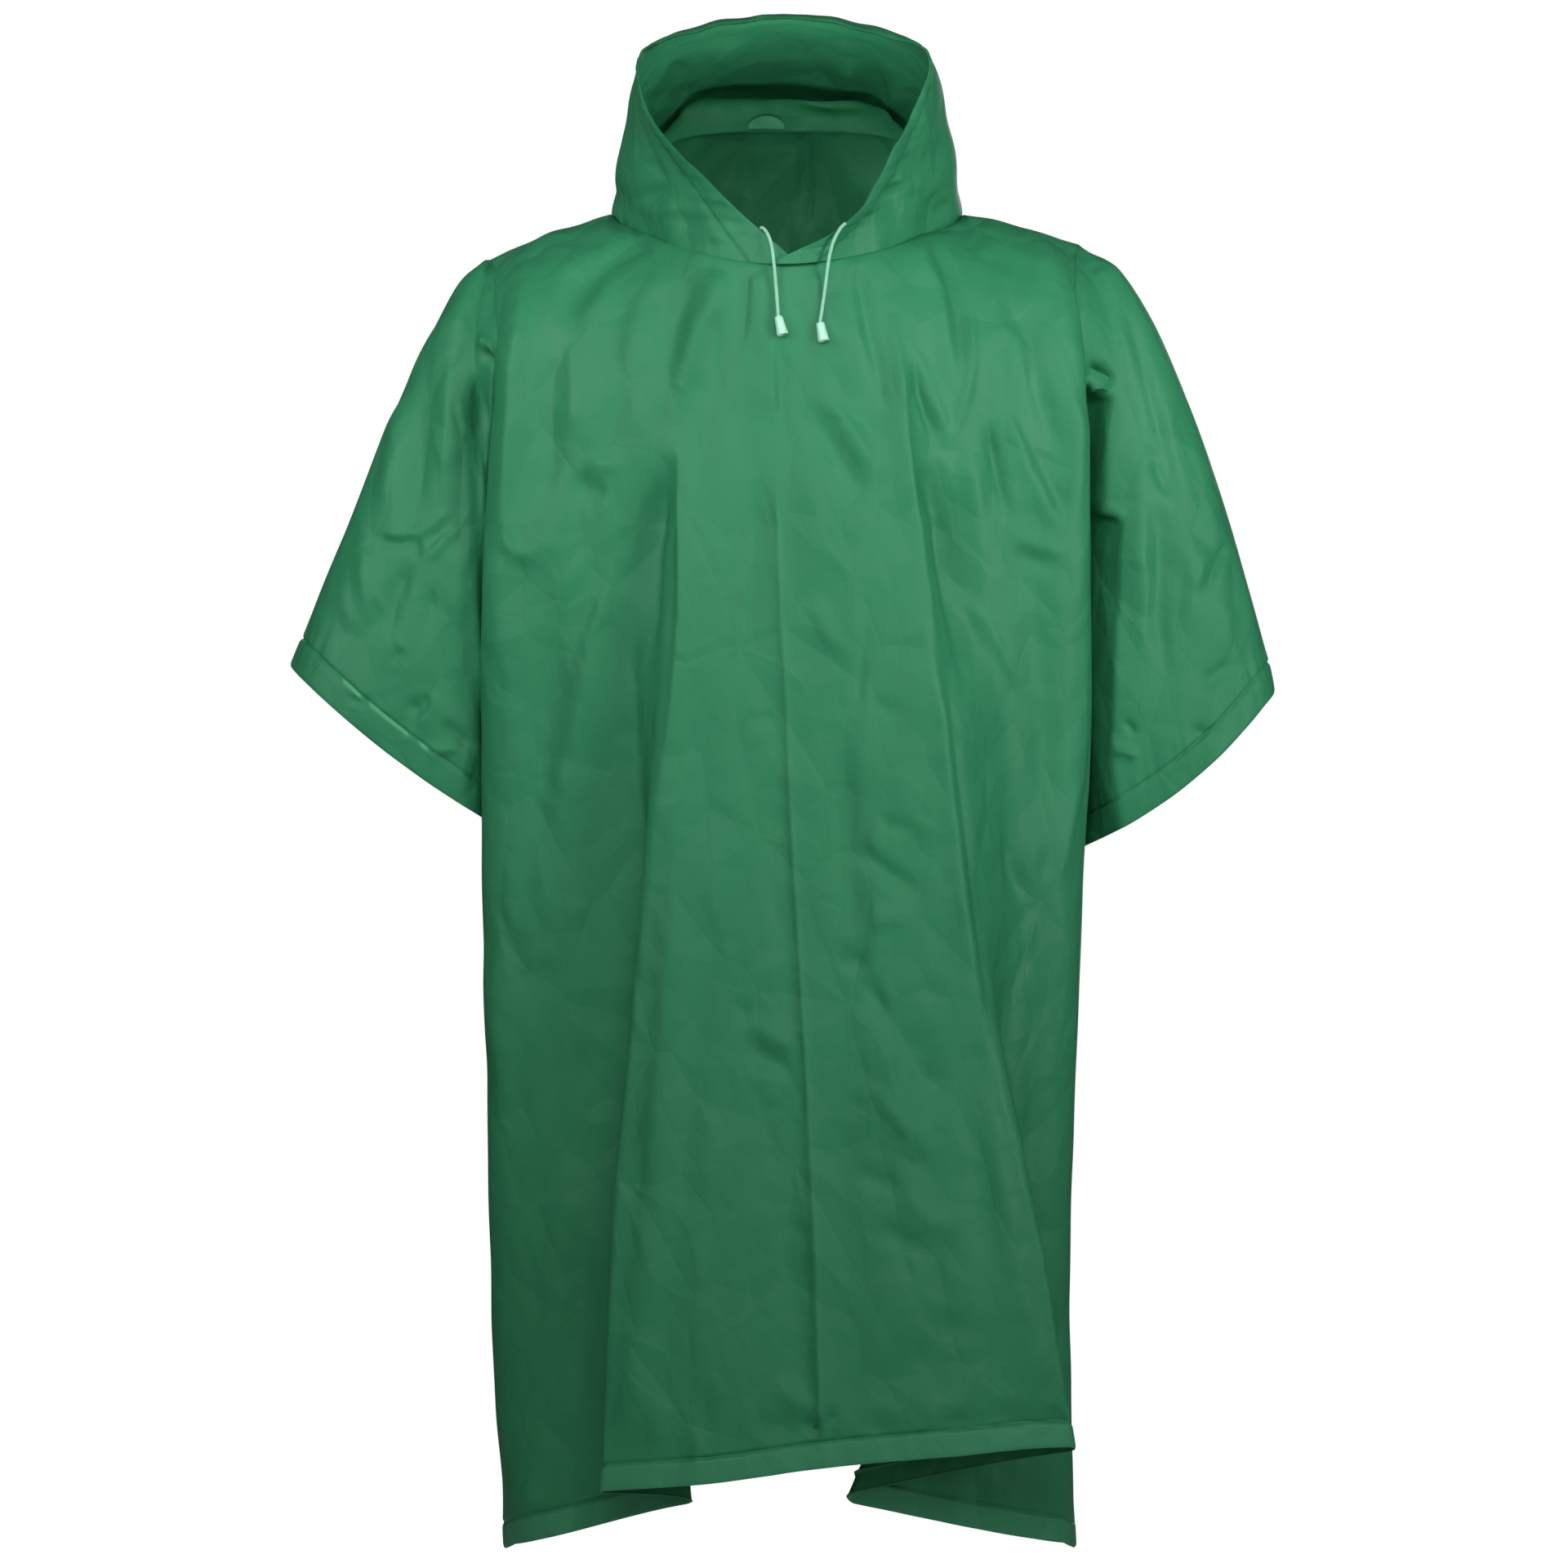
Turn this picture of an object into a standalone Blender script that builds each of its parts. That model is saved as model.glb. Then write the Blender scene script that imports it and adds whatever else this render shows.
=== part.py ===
"""Rain poncho of soft plastic film, in its worn shape with nobody in it.

Metres, +Z up, -Y is the front and +X is the wearer's left. The origin lies midway
between the two neck points of the shoulder seams, where the wearer holds it.
Every cloth piece is a grid of points on the middle of its wall, worked out from
short tables of sections, and then given its wall thickness.
"""
import math
from collections import namedtuple

import bpy
from mathutils import Vector

# ---------------------------------------------------------------- driving sizes
WALL = 0.0015               # cloth wall
HEM_WALL = 0.0012           # extra layer of a turned and welded hem
SEAM_GAP = 0.0003           # between pieces at a seam
HEM_WIDTH = 0.020           # body hem band
CUFF_WIDTH = 0.024          # sleeve hem band
CASING_WALL = 0.0010        # drawcord channel along the face opening

SHOULDER_X = 0.245          # armhole seam from the middle, at the shoulder
YOKE_Z = -0.160             # where the cloth has turned down from the shoulder
CORD_DIAMETER = 0.0028
STOPPER_LENGTH = 0.0155
STOPPER_GAP = 0.0007        # on the axis; the lean closes it at one side

FREE = 10.0                 # bend radius of cloth that is not folded

# rows of the body panels: over the shoulder by angle, then down by fall (0 yoke, 1 hem)
CAP_ANGLES = (0.0, 18.0, 36.0, 54.0, 72.0)
FALLS = (0.0, 0.075, 0.15, 0.225, 0.30, 0.37, 0.44, 0.52, 0.60, 0.68, 0.76, 0.84, 0.92, 1.0)
UNDERARM_ROW = 9            # first row at or below the armhole

# ------------------------------------------------------------------- the tables
NeckKnot = namedtuple("NeckKnot", "angle right_x left_x y z")
NECKLINE = (                # angle from the centre front round to the nape
    NeckKnot(0, 0.000, 0.000, -0.150, -0.0566),
    NeckKnot(30, -0.070, 0.070, -0.125, -0.0440),
    NeckKnot(58, -0.107, 0.110, -0.078, -0.0255),
    NeckKnot(90, -0.143, 0.148, 0.000, 0.0000),
    NeckKnot(122, -0.125, 0.130, 0.060, 0.0450),
    NeckKnot(150, -0.082, 0.087, 0.092, 0.0770),
    NeckKnot(180, 0.000, 0.000, 0.105, 0.0840),
)

ShoulderKnot = namedtuple("ShoulderKnot", "along right_z left_z")
SHOULDER_LINE = (           # from the armhole seam (0) to the neck point (1)
    ShoulderKnot(0.0, -0.0370, -0.0240),
    ShoulderKnot(0.35, -0.0220, -0.0150),
    ShoulderKnot(0.70, -0.0100, -0.0052),
    ShoulderKnot(1.0, 0.0000, 0.0000),
)

FRONT_GUIDES = ("seam_r", "flank_r", "inner_r", "fold_r", "chest_r", "middle",
                "chest_l", "fold_l", "inner_l", "flank_l", "seam_l")
FrontRow = namedtuple("FrontRow", ("fall",) + FRONT_GUIDES)
# (x, y) of each guide line; fold_ is the front edge of a deep fold, inner_ its back edge
FRONT_ROWS = (
    FrontRow(0.00, (-0.232, -0.062), (-0.232, -0.104), (-0.150, -0.130), (-0.087, -0.147),
             (-0.045, -0.154), (-0.008, -0.157), (0.050, -0.156), (0.101, -0.147),
             (0.165, -0.128), (0.243, -0.103), (0.236, -0.062)),
    FrontRow(0.15, (-0.233, -0.048), (-0.243, -0.098), (-0.140, -0.132), (-0.087, -0.158),
             (-0.042, -0.164), (-0.004, -0.163), (0.052, -0.166), (0.106, -0.157),
             (0.172, -0.126), (0.2475, -0.098), (0.236, -0.048)),
    FrontRow(0.30, (-0.230, -0.0001), (-0.2440, -0.080), (-0.119, -0.126), (-0.099, -0.163),
             (-0.045, -0.169), (0.000, -0.165), (0.062, -0.171), (0.133, -0.162),
             (0.182, -0.118), (0.2475, -0.080), (0.233, -0.0001)),
    FrontRow(0.55, (-0.232, -0.0001), (-0.2395, -0.070), (-0.101, -0.118), (-0.121, -0.166),
             (-0.050, -0.177), (0.012, -0.172), (0.080, -0.179), (0.160, -0.168),
             (0.180, -0.116), (0.2365, -0.070), (0.231, -0.0001)),
    FrontRow(0.78, (-0.2335, -0.0001), (-0.2345, -0.067), (-0.088, -0.124), (-0.138, -0.171),
             (-0.055, -0.188), (0.023, -0.183), (0.105, -0.188), (0.2025, -0.172),
             (0.128, -0.118), (0.2290, -0.067), (0.232, -0.0001)),
    FrontRow(1.00, (-0.233, -0.0001), (-0.2200, -0.064), (-0.0745, -0.135), (-0.1465, -0.176),
             (-0.060, -0.198), (0.030, -0.196), (0.120, -0.196), (0.2345, -0.168),
             (0.0515, -0.125), (0.2290, -0.064), (0.2430, -0.0001)),
)
FRONT_HEM = (-1.1074, -1.0960, -1.0516, -1.0380, -1.0284, -1.0164,
             -1.0080, -1.0048, -1.0496, -1.0950, -1.1074)
BendRow = namedtuple("BendRow", "fall inner_r fold_r fold_l inner_l")
FRONT_BENDS = (             # bend radius at the folds
    BendRow(0.00, FREE, FREE, FREE, FREE),
    BendRow(0.15, 0.100, 0.100, 0.200, 0.200),
    BendRow(0.30, 0.012, 0.014, 0.040, 0.040),
    BendRow(0.55, 0.007, 0.008, 0.024, 0.024),
    BendRow(0.78, 0.006, 0.006, 0.008, 0.008),
    BendRow(1.00, 0.0055, 0.0045, 0.0055, 0.0055),
)
FRONT_TOP_ANGLES = (-90, -54, -24, 0, 26, 56, 90)   # inner_r to inner_l on the neckline

BACK_GUIDES = ("seam_r", "flank_r", "ridge_r", "valley_r", "middle", "valley_l",
               "ridge_l", "flank_l", "seam_l")
BackRow = namedtuple("BackRow", ("fall",) + BACK_GUIDES)
BACK_ROWS = (
    BackRow(0.00, (-0.232, 0.062), (-0.232, 0.100), (-0.158, 0.132), (-0.092, 0.142),
            (-0.022, 0.146), (0.050, 0.146), (0.128, 0.138), (0.243, 0.100), (0.236, 0.062)),
    BackRow(0.15, (-0.233, 0.048), (-0.243, 0.092), (-0.160, 0.143), (-0.096, 0.141),
            (-0.024, 0.156), (0.048, 0.148), (0.132, 0.149), (0.2475, 0.092), (0.236, 0.048)),
    BackRow(0.30, (-0.230, 0.0001), (-0.2465, 0.074), (-0.162, 0.150), (-0.098, 0.137),
            (-0.025, 0.164), (0.047, 0.145), (0.134, 0.157), (0.2475, 0.074), (0.233, 0.0001)),
    BackRow(0.55, (-0.232, 0.0001), (-0.2375, 0.072), (-0.162, 0.162), (-0.098, 0.134),
            (-0.026, 0.174), (0.047, 0.141), (0.137, 0.169), (0.2350, 0.072), (0.231, 0.0001)),
    BackRow(0.78, (-0.2335, 0.0001), (-0.2315, 0.076), (-0.160, 0.174), (-0.095, 0.130),
            (-0.026, 0.186), (0.050, 0.136), (0.142, 0.180), (0.2280, 0.076), (0.232, 0.0001)),
    BackRow(1.00, (-0.233, 0.0001), (-0.2240, 0.080), (-0.160, 0.186), (-0.090, 0.126),
            (-0.025, 0.198), (0.055, 0.131), (0.147, 0.191), (0.2270, 0.080), (0.2430, 0.0001)),
)
BACK_HEM = (-1.1074, -1.0920, -1.0640, -1.0540, -1.0440, -1.0500, -1.0600, -1.0920, -1.1074)
BACK_TOP_ANGLES = (-90, -132, -180, -228, -270)      # ridge_r to ridge_l on the neckline

SleeveRing = namedtuple("SleeveRing", "top_x top_z low_x low_z front back bow")
SLEEVE_RIGHT = (            # rings from just off the armhole to the cuff
    SleeveRing(-0.2720, -0.0620, -0.2365, -0.444, 0.071, 0.071, 0.000),
    SleeveRing(-0.3060, -0.1260, -0.2370, -0.460, 0.076, 0.074, 0.001),
    SleeveRing(-0.3468, -0.2210, -0.2375, -0.476, 0.078, 0.076, 0.002),
    SleeveRing(-0.3850, -0.3140, -0.2380, -0.492, 0.077, 0.075, 0.004),
    SleeveRing(-0.4094, -0.3742, -0.2385, -0.507, 0.074, 0.072, 0.006),
)
SLEEVE_LEFT = (
    SleeveRing(0.2760, -0.0440, 0.2395, -0.450, 0.071, 0.071, 0.000),
    SleeveRing(0.3110, -0.0990, 0.2400, -0.470, 0.076, 0.074, 0.002),
    SleeveRing(0.3500, -0.1970, 0.2405, -0.490, 0.078, 0.076, 0.005),
    SleeveRing(0.3850, -0.3080, 0.2410, -0.510, 0.078, 0.076, 0.009),
    SleeveRing(0.4066, -0.3946, 0.2415, -0.529, 0.074, 0.072, 0.013),
)
SLEEVE_ROWS = 9             # even steps from the armhole to the cuff's hem line
ARMHOLE_EASE = 0.0004       # the body cloth slants where the sleeve meets it
UNDERARM_EASE = 0.0010

HoodSection = namedtuple("HoodSection", "foot low side corner brow crown")
RIM_RIGHT = HoodSection(-5, (0.052, -0.1440, 0.0026), (0.1030, -0.122, 0.0590),
                        (0.1180, -0.085, 0.1165), (0.0863, -0.100, 0.1350),
                        (0.0, -0.120, 0.1466))
RIM_LEFT = HoodSection(-5, (0.0525, -0.1500, -0.0205), (0.0923, -0.130, 0.0476),
                       (0.1186, -0.085, 0.1165), (0.0863, -0.100, 0.1335),
                       (0.0, -0.120, 0.1466))
HOOD_SECTIONS = (           # behind the rim, as far as the nape; the right half mirrors x
    HoodSection(38, (0.106, -0.094, 0.016), (0.123, -0.078, 0.070), (0.124, -0.054, 0.118),
                (0.086, -0.058, 0.1460), (0.0, -0.066, 0.1580)),
    HoodSection(72, (0.141, -0.032, 0.030), (0.136, -0.022, 0.072), (0.124, -0.008, 0.113),
                (0.082, -0.004, 0.1480), (0.0, -0.004, 0.1630)),
    HoodSection(98, (0.142, 0.026, 0.044), (0.136, 0.042, 0.075), (0.116, 0.058, 0.108),
                (0.072, 0.064, 0.1400), (0.0, 0.068, 0.1570)),
    HoodSection(118, (0.134, 0.068, 0.062), (0.126, 0.094, 0.074), (0.100, 0.118, 0.090),
                (0.058, 0.128, 0.1160), (0.0, 0.134, 0.1310)),
    HoodSection(132, (0.116, 0.090, 0.073), (0.108, 0.116, 0.068), (0.086, 0.144, 0.066),
                (0.046, 0.160, 0.0800), (0.0, 0.168, 0.0880)),
    HoodSection(141, (0.100, 0.098, 0.080), (0.092, 0.116, 0.074), (0.070, 0.136, 0.058),
                (0.036, 0.150, 0.0520), (0.0, 0.156, 0.0510)),
    HoodSection(147, (0.086, 0.098, 0.087), (0.074, 0.108, 0.094), (0.053, 0.117, 0.093),
                (0.027, 0.124, 0.0900), (0.0, 0.128, 0.0890)),
    HoodSection(152, (0.073, 0.097, 0.089), (0.058, 0.103, 0.103), (0.040, 0.108, 0.110),
                (0.020, 0.111, 0.1130), (0.0, 0.112, 0.1140)),
)
HOOD_LIFT = WALL / 2 + SEAM_GAP + 0.0011
FRONT_OVERLAP = 0.0053      # the left half laps over the right one by this at the front
HOOD_RIGHT_WIDTH = 0.965    # the right half stands a little closer in
HOOD_LAST_ANGLES = (156, 161, 166, 171, 176, 180)    # the last section lies on the neckline
HOOD_PLACES = (0.0, 0.38, 0.7, 1.0, 1.33, 1.67, 2.0, 2.5, 3.0, 3.5, 4.0, 4.5, 5.0, 5.5, 6.0,
               6.5, 7.0, 7.5, 8.0, 8.5, 9.0)         # rows, counted in sections
HOOD_COLUMNS = 12
CASING_ROWS = 2                                      # rows of the hood that the casing lines
CASING_START = {"right": 2, "left": 3}               # first column of the casing

CORD_RIGHT = ((-0.0186, -0.1483, -0.0261), (-0.0168, -0.1500, -0.0268), (-0.0147, -0.1524, -0.0292),
              (-0.0123, -0.1546, -0.0338), (-0.0104, -0.1562, -0.0400), (-0.0091, -0.1570, -0.0470),
              (-0.0082, -0.1575, -0.0545), (-0.0074, -0.1578, -0.0630), (-0.0066, -0.1580, -0.0720),
              (-0.0058, -0.1585, -0.0820), (-0.0052, -0.1593, -0.0905), (-0.0046, -0.1605, -0.0985))
CORD_LEFT = ((0.0490, -0.1534, -0.0234), (0.0474, -0.1550, -0.0249), (0.0452, -0.1563, -0.0276),
             (0.0421, -0.1572, -0.0326), (0.0393, -0.1572, -0.0390), (0.0370, -0.1577, -0.0470),
             (0.0354, -0.1580, -0.0560), (0.0342, -0.1580, -0.0650), (0.0330, -0.1581, -0.0745),
             (0.0317, -0.1584, -0.0840), (0.0303, -0.1590, -0.0935), (0.0288, -0.1599, -0.1035))
STOPPER_LEAN = {"right": (0.0036, -0.0014, -0.0150), "left": (0.0031, -0.0014, -0.0150)}
StopperRing = namedtuple("StopperRing", "along radius")
STOPPER_OUTSIDE = (StopperRing(0.0, 0.0024), StopperRing(0.03, 0.0034), StopperRing(0.45, 0.0038),
                   StopperRing(0.94, 0.0047), StopperRing(1.0, 0.0045))
STOPPER_INSIDE = (StopperRing(1.0, 0.0036), StopperRing(0.55, 0.0030), StopperRing(0.52, 0.0010))

LOOP_HALF_WIDTH = 0.0155    # hanging tab at the nape
LOOP_HEIGHT = 0.0105
LOOP_MIDDLE_X = -0.0150
LOOP_STAND_OFF = 0.0018     # from the middle of the hood's wall
LOOP_LEAN = 0.10
NAPE_DEGREES_PER_METRE = 350.0

Finish = namedtuple("Finish", "colour roughness")
FILM = Finish((0.040, 0.226, 0.108), 0.42)
FILM_HEM = Finish((0.034, 0.196, 0.092), 0.42)
CORD = Finish((0.330, 0.760, 0.530), 0.60)
STOPPER = Finish((0.420, 0.770, 0.610), 0.35)


# ------------------------------------------------------------------ curve tools
def catmull(points, place):
    """Point at place (0 to len - 1) on a smooth curve through points (tuples)."""
    last = len(points) - 1
    place = min(max(place, 0.0), float(last))
    start = min(int(place), last - 1)
    t = place - start
    p1 = Vector(points[start])
    p2 = Vector(points[start + 1])
    p0 = Vector(points[start - 1]) if start > 0 else p1 * 2.0 - p2
    p3 = Vector(points[start + 2]) if start + 2 <= last else p2 * 2.0 - p1
    return 0.5 * ((2.0 * p1) + (p2 - p0) * t + (2.0 * p0 - 5.0 * p1 + 4.0 * p2 - p3) * t * t
                  + (3.0 * p1 - 3.0 * p2 + p3 - p0) * t * t * t)


def place_in(keys, value):
    """Fractional row of value in the rising list keys."""
    for row in range(len(keys) - 1):
        if value <= keys[row + 1]:
            return row + (value - keys[row]) / (keys[row + 1] - keys[row])
    return float(len(keys) - 1)


def neck_point(angle):
    """Point of the neckline; negative angles are on the wearer's right."""
    turned = (angle + 180.0) % 360.0 - 180.0
    knots = [(k.right_x, k.y, k.z) for k in reversed(NECKLINE)]
    knots += [(k.left_x, k.y, k.z) for k in NECKLINE[1:]]
    keys = [-k.angle for k in reversed(NECKLINE)] + [k.angle for k in NECKLINE[1:]]
    wrapped = [knots[-2]] + knots + [knots[1]]
    return catmull(wrapped, 1.0 + place_in(keys, turned))


def shoulder_point(side, along):
    """Point of the shoulder seam, from the armhole (0) to the neck point (1)."""
    neck = neck_point(90.0 * side)
    column = 2 if side > 0 else 1
    keys = [knot.along for knot in SHOULDER_LINE]
    heights = [(knot[column], 0.0, 0.0) for knot in SHOULDER_LINE]
    z = catmull(heights, place_in(keys, along)).x
    x = side * SHOULDER_X + (neck.x - side * SHOULDER_X) * along
    return Vector((x, 0.0, z))


# ------------------------------------------------------- cross-sections of cloth
def corner_turn(before, corner, after, radius):
    """Unit bisector, half angle and run-in of a bend of this radius at a corner."""
    to_before = before - corner
    to_after = after - corner
    room = 0.46 * min(to_before.length, to_after.length)
    a = to_before.normalized()
    b = to_after.normalized()
    half = 0.5 * math.acos(max(-0.9999, min(0.9999, a.dot(b))))
    run_in = min(radius / math.tan(half), room)
    bisector = (a + b).normalized()
    return bisector, half, run_in


def corners_for_tips(tips, radii):
    """Polygon corners such that the bend at each corner touches its guide point."""
    corners = [tip.copy() for tip in tips]
    for _ in range(8):
        for i in range(1, len(tips) - 1):
            bisector, half, run_in = corner_turn(corners[i - 1], corners[i], corners[i + 1],
                                                 radii[i])
            bend = run_in * math.tan(half)
            reach = bend / math.sin(half) - bend
            target = tips[i] - bisector * reach
            corners[i] = corners[i].lerp(target, 0.7)
    return corners


def section(tips, radii, samples):
    """Points of one cross-section with, for each, its place among the guides."""
    corners = corners_for_tips(tips, radii)
    points = [corners[0]]
    places = [0.0]
    for i in range(1, len(corners) - 1):
        before, here, after = corners[i - 1], corners[i], corners[i + 1]
        bisector, half, run_in = corner_turn(before, here, after, radii[i])
        bend = run_in * math.tan(half)
        centre = here + bisector * (bend / math.sin(half))
        sweep = math.pi - 2.0 * half
        a = (before - here).normalized()
        arm = here + a * run_in - centre
        turn = 1.0 if a.x * bisector.y - a.y * bisector.x < 0.0 else -1.0
        first = i - run_in / (before - here).length
        final = i + run_in / (after - here).length
        points.append((points[-1] + here + a * run_in) * 0.5)
        places.append((places[-1] + first) * 0.5)
        for step in range(samples[i]):
            share = step / (samples[i] - 1)
            angle = turn * sweep * share
            cosine, sine = math.cos(angle), math.sin(angle)
            spun = Vector((arm.x * cosine - arm.y * sine, arm.x * sine + arm.y * cosine))
            points.append(centre + spun)
            places.append(first + (i - first) * share * 2.0 if share <= 0.5
                          else i + (final - i) * (share * 2.0 - 1.0))
    points.append((points[-1] + corners[-1]) * 0.5)
    places.append((places[-1] + len(corners) - 1) * 0.5)
    points.append(corners[-1])
    places.append(float(len(corners) - 1))
    return points, places


def row_value(rows, keys, fall, column):
    """Smooth value of one guide column of a table at this fall."""
    return catmull([row[column + 1] for row in rows], place_in(keys, fall))


def front_radii(fall):
    """Bend radius at every guide of the front panel."""
    keys = [row.fall for row in FRONT_BENDS]
    place = place_in(keys, fall)
    low = min(int(place), len(keys) - 2)
    share = place - low
    radii = [FREE] * len(FRONT_GUIDES)
    for name in ("inner_r", "fold_r", "fold_l", "inner_l"):
        above = math.log(getattr(FRONT_BENDS[low], name))
        below = math.log(getattr(FRONT_BENDS[low + 1], name))
        radii[FRONT_GUIDES.index(name)] = math.exp(above + (below - above) * share)
    return radii


def hem_height(heights, place):
    """Height of the hem at a place among the guides."""
    return catmull([(height, 0.0, 0.0) for height in heights], place).x


def panel_grid(rows, hem, radii_at, samples, top_at):
    """Grid of a body panel: over the shoulder first, then down to the hem."""
    keys = [row.fall for row in rows]
    columns = range(len(rows[0]) - 1)
    body = []
    yoke_places = None
    for fall in FALLS:
        tips = [row_value(rows, keys, fall, column) for column in columns]
        points, places = section(tips, radii_at(fall), samples)
        yoke_places = yoke_places or places
        body.append([Vector((p.x, p.y, YOKE_Z + fall * (hem_height(hem, place) - YOKE_Z)))
                     for p, place in zip(points, places)])
    top = [top_at(place) for place in yoke_places]
    cap = []
    for degrees in CAP_ANGLES:
        out = math.sin(math.radians(degrees))
        down = 1.0 - math.cos(math.radians(degrees))
        cap.append([Vector((t.x + (y.x - t.x) * out, t.y + (y.y - t.y) * out,
                            t.z + (y.z - t.z) * down))
                    for t, y in zip(top, body[0])])
    return cap + body


def top_edge(angles, first_guide, guides, y_shift):
    """Function that gives the top edge of a panel at a place among its guides."""
    last_guide = first_guide + len(angles) - 1

    def at(place):
        if place <= first_guide:
            point = shoulder_point(-1, place / first_guide)
        elif place >= last_guide:
            point = shoulder_point(1, (guides - 1 - place) / first_guide)
        else:
            low = min(int(place - first_guide), len(angles) - 2)
            share = place - first_guide - low
            point = neck_point(angles[low] + (angles[low + 1] - angles[low]) * share)
        return point + Vector((0.0, y_shift, 0.0))
    return at


def front_grid():
    """Front panel, from the right side seam to the left one."""
    samples = [5 if "fold" in name or "inner" in name else 3 for name in FRONT_GUIDES]
    top = top_edge(FRONT_TOP_ANGLES, 2, len(FRONT_GUIDES), -SEAM_GAP / 2)
    grid = panel_grid(FRONT_ROWS, FRONT_HEM, front_radii, samples, top)
    return seam_gap(with_hem_row(grid, HEM_WIDTH), -SEAM_GAP / 2)


def back_grid():
    """Back panel, from the right side seam to the left one."""
    samples = [5 if "ridge" in name or "valley" in name or name == "middle" else 3
               for name in BACK_GUIDES]
    top = top_edge(BACK_TOP_ANGLES, 2, len(BACK_GUIDES), SEAM_GAP / 2)
    grid = panel_grid(BACK_ROWS, BACK_HEM, lambda fall: [FREE] * len(BACK_GUIDES), samples, top)
    return seam_gap(with_hem_row(grid, HEM_WIDTH), SEAM_GAP / 2)


def seam_gap(grid, y):
    """Set the side-seam columns below the armhole at the gap from the middle plane."""
    for row in grid[UNDERARM_ROW:]:
        row[0].y = y
        row[-1].y = y
    return grid


# --------------------------------------------------------------------- sleeves
def armhole_ring(front, back, column):
    """Armhole edge as a ring: shoulder, down the front, underarm, up the back."""
    down = [row[column] for row in front[:UNDERARM_ROW + 1]]
    up = [row[column] for row in back[:UNDERARM_ROW + 1]]
    top = (down[0] + up[0]) * 0.5
    low = (down[-1] + up[-1]) * 0.5
    return [top] + down[1:-1] + [low] + up[-2:0:-1]


def drop_ring(ring, count):
    """Hanging ring of a sleeve: full at the arm, narrow at its lowest edge."""
    top = Vector((ring.top_x, 0.0, ring.top_z))
    low = Vector((ring.low_x, 0.0, ring.low_z))
    outward = Vector((top.z - low.z, 0.0, low.x - top.x)).normalized()
    outward *= math.copysign(1.0, top.x)
    half = count // 2
    points = []
    for i in range(count):
        share = i / half if i <= half else (count - i) / half
        along = 0.5 - 0.5 * math.cos(math.pi * share)
        swell = math.sin(math.pi * share ** 0.72) * (1.0 - 0.30 * share)
        depth = -ring.front if i <= half else ring.back
        point = top.lerp(low, along) + outward * (ring.bow * math.sin(math.pi * along))
        points.append(Vector((point.x, depth * swell, point.z)))
    return points


def even_line(knots, count, last):
    """Points on a smooth curve: count even steps, then one step of the length last."""
    steps = 8 * (len(knots) - 1)
    dense = [catmull(knots, (len(knots) - 1) * i / steps) for i in range(steps + 1)]
    reached = [0.0]
    for a, b in zip(dense, dense[1:]):
        reached.append(reached[-1] + (b - a).length)
    body = reached[-1] - last
    wanted = [body * i / count for i in range(count + 1)] + [reached[-1]]
    return [catmull(dense, place_in(reached, length)) for length in wanted]


def sleeve_grid(rings, front, back, column, side):
    """Sleeve from the armhole to the cuff, ring by ring."""
    edge = armhole_ring(front, back, column)
    count = len(edge)
    start = []
    for i, point in enumerate(edge):
        nearness = max(0.0, 1.0 - abs(i - count // 2) / 2.5)
        shift = WALL / 2 + SEAM_GAP + ARMHOLE_EASE + UNDERARM_EASE * nearness
        start.append(point + Vector((side * shift, 0.0, 0.0)))
    knots = [start] + [drop_ring(ring, count) for ring in rings]
    lines = [even_line([knot[i] for knot in knots], SLEEVE_ROWS, CUFF_WIDTH)
             for i in range(count)]
    return [list(row) for row in zip(*lines)]


# ------------------------------------------------------------------------ hood
def hood_knots(half):
    """Foot angle and five guide points of every hood section of one half, rim first."""
    side = 1 if half == "left" else -1
    rim = RIM_LEFT if half == "left" else RIM_RIGHT
    lift = Vector((0.0, 0.0, HOOD_LIFT))
    table = []
    for part in (rim,) + HOOD_SECTIONS:
        foot = part.foot
        width = side * (HOOD_RIGHT_WIDTH if half == "right" and part is not rim else 1.0)
        rest = [Vector((width * p[0], p[1], p[2]))
                for p in (part.low, part.side, part.corner, part.brow, part.crown)]
        table.append([foot] + rest)
    last = [neck_point(side * angle) + lift for angle in HOOD_LAST_ANGLES[1:]]
    table.append([HOOD_LAST_ANGLES[0]] + last)
    return table


def hood_point(table, half, section_place, knot_place):
    """Point of a hood half at a place between sections and between guide points."""
    side = 1 if half == "left" else -1
    angle = catmull([(row[0], 0.0, 0.0) for row in table], section_place).x
    foot = neck_point(side * angle) + Vector((0.0, 0.0, HOOD_LIFT))
    across = [foot] + [catmull([row[k] for row in table], section_place) for k in range(1, 6)]
    mirrored = across[4].copy()
    mirrored.x = -mirrored.x
    point = catmull(across + [mirrored], knot_place)
    if half == "left":
        near_middle = min(max((0.056 - point.x) / 0.025, 0.0), 1.0)
        near_rim = min(max((1.0 - section_place) / 0.6, 0.0), 1.0)
        point.y -= FRONT_OVERLAP * near_middle * near_rim * (knot_place < 3.0)
    if knot_place >= 4.999:
        point.x = side * SEAM_GAP / 2
    return point


def hood_grid(half):
    """One half of the hood, from the face opening back to the nape."""
    table = hood_knots(half)
    return [[hood_point(table, half, place, 5.0 * column / (HOOD_COLUMNS - 1))
             for column in range(HOOD_COLUMNS)] for place in HOOD_PLACES]


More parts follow.
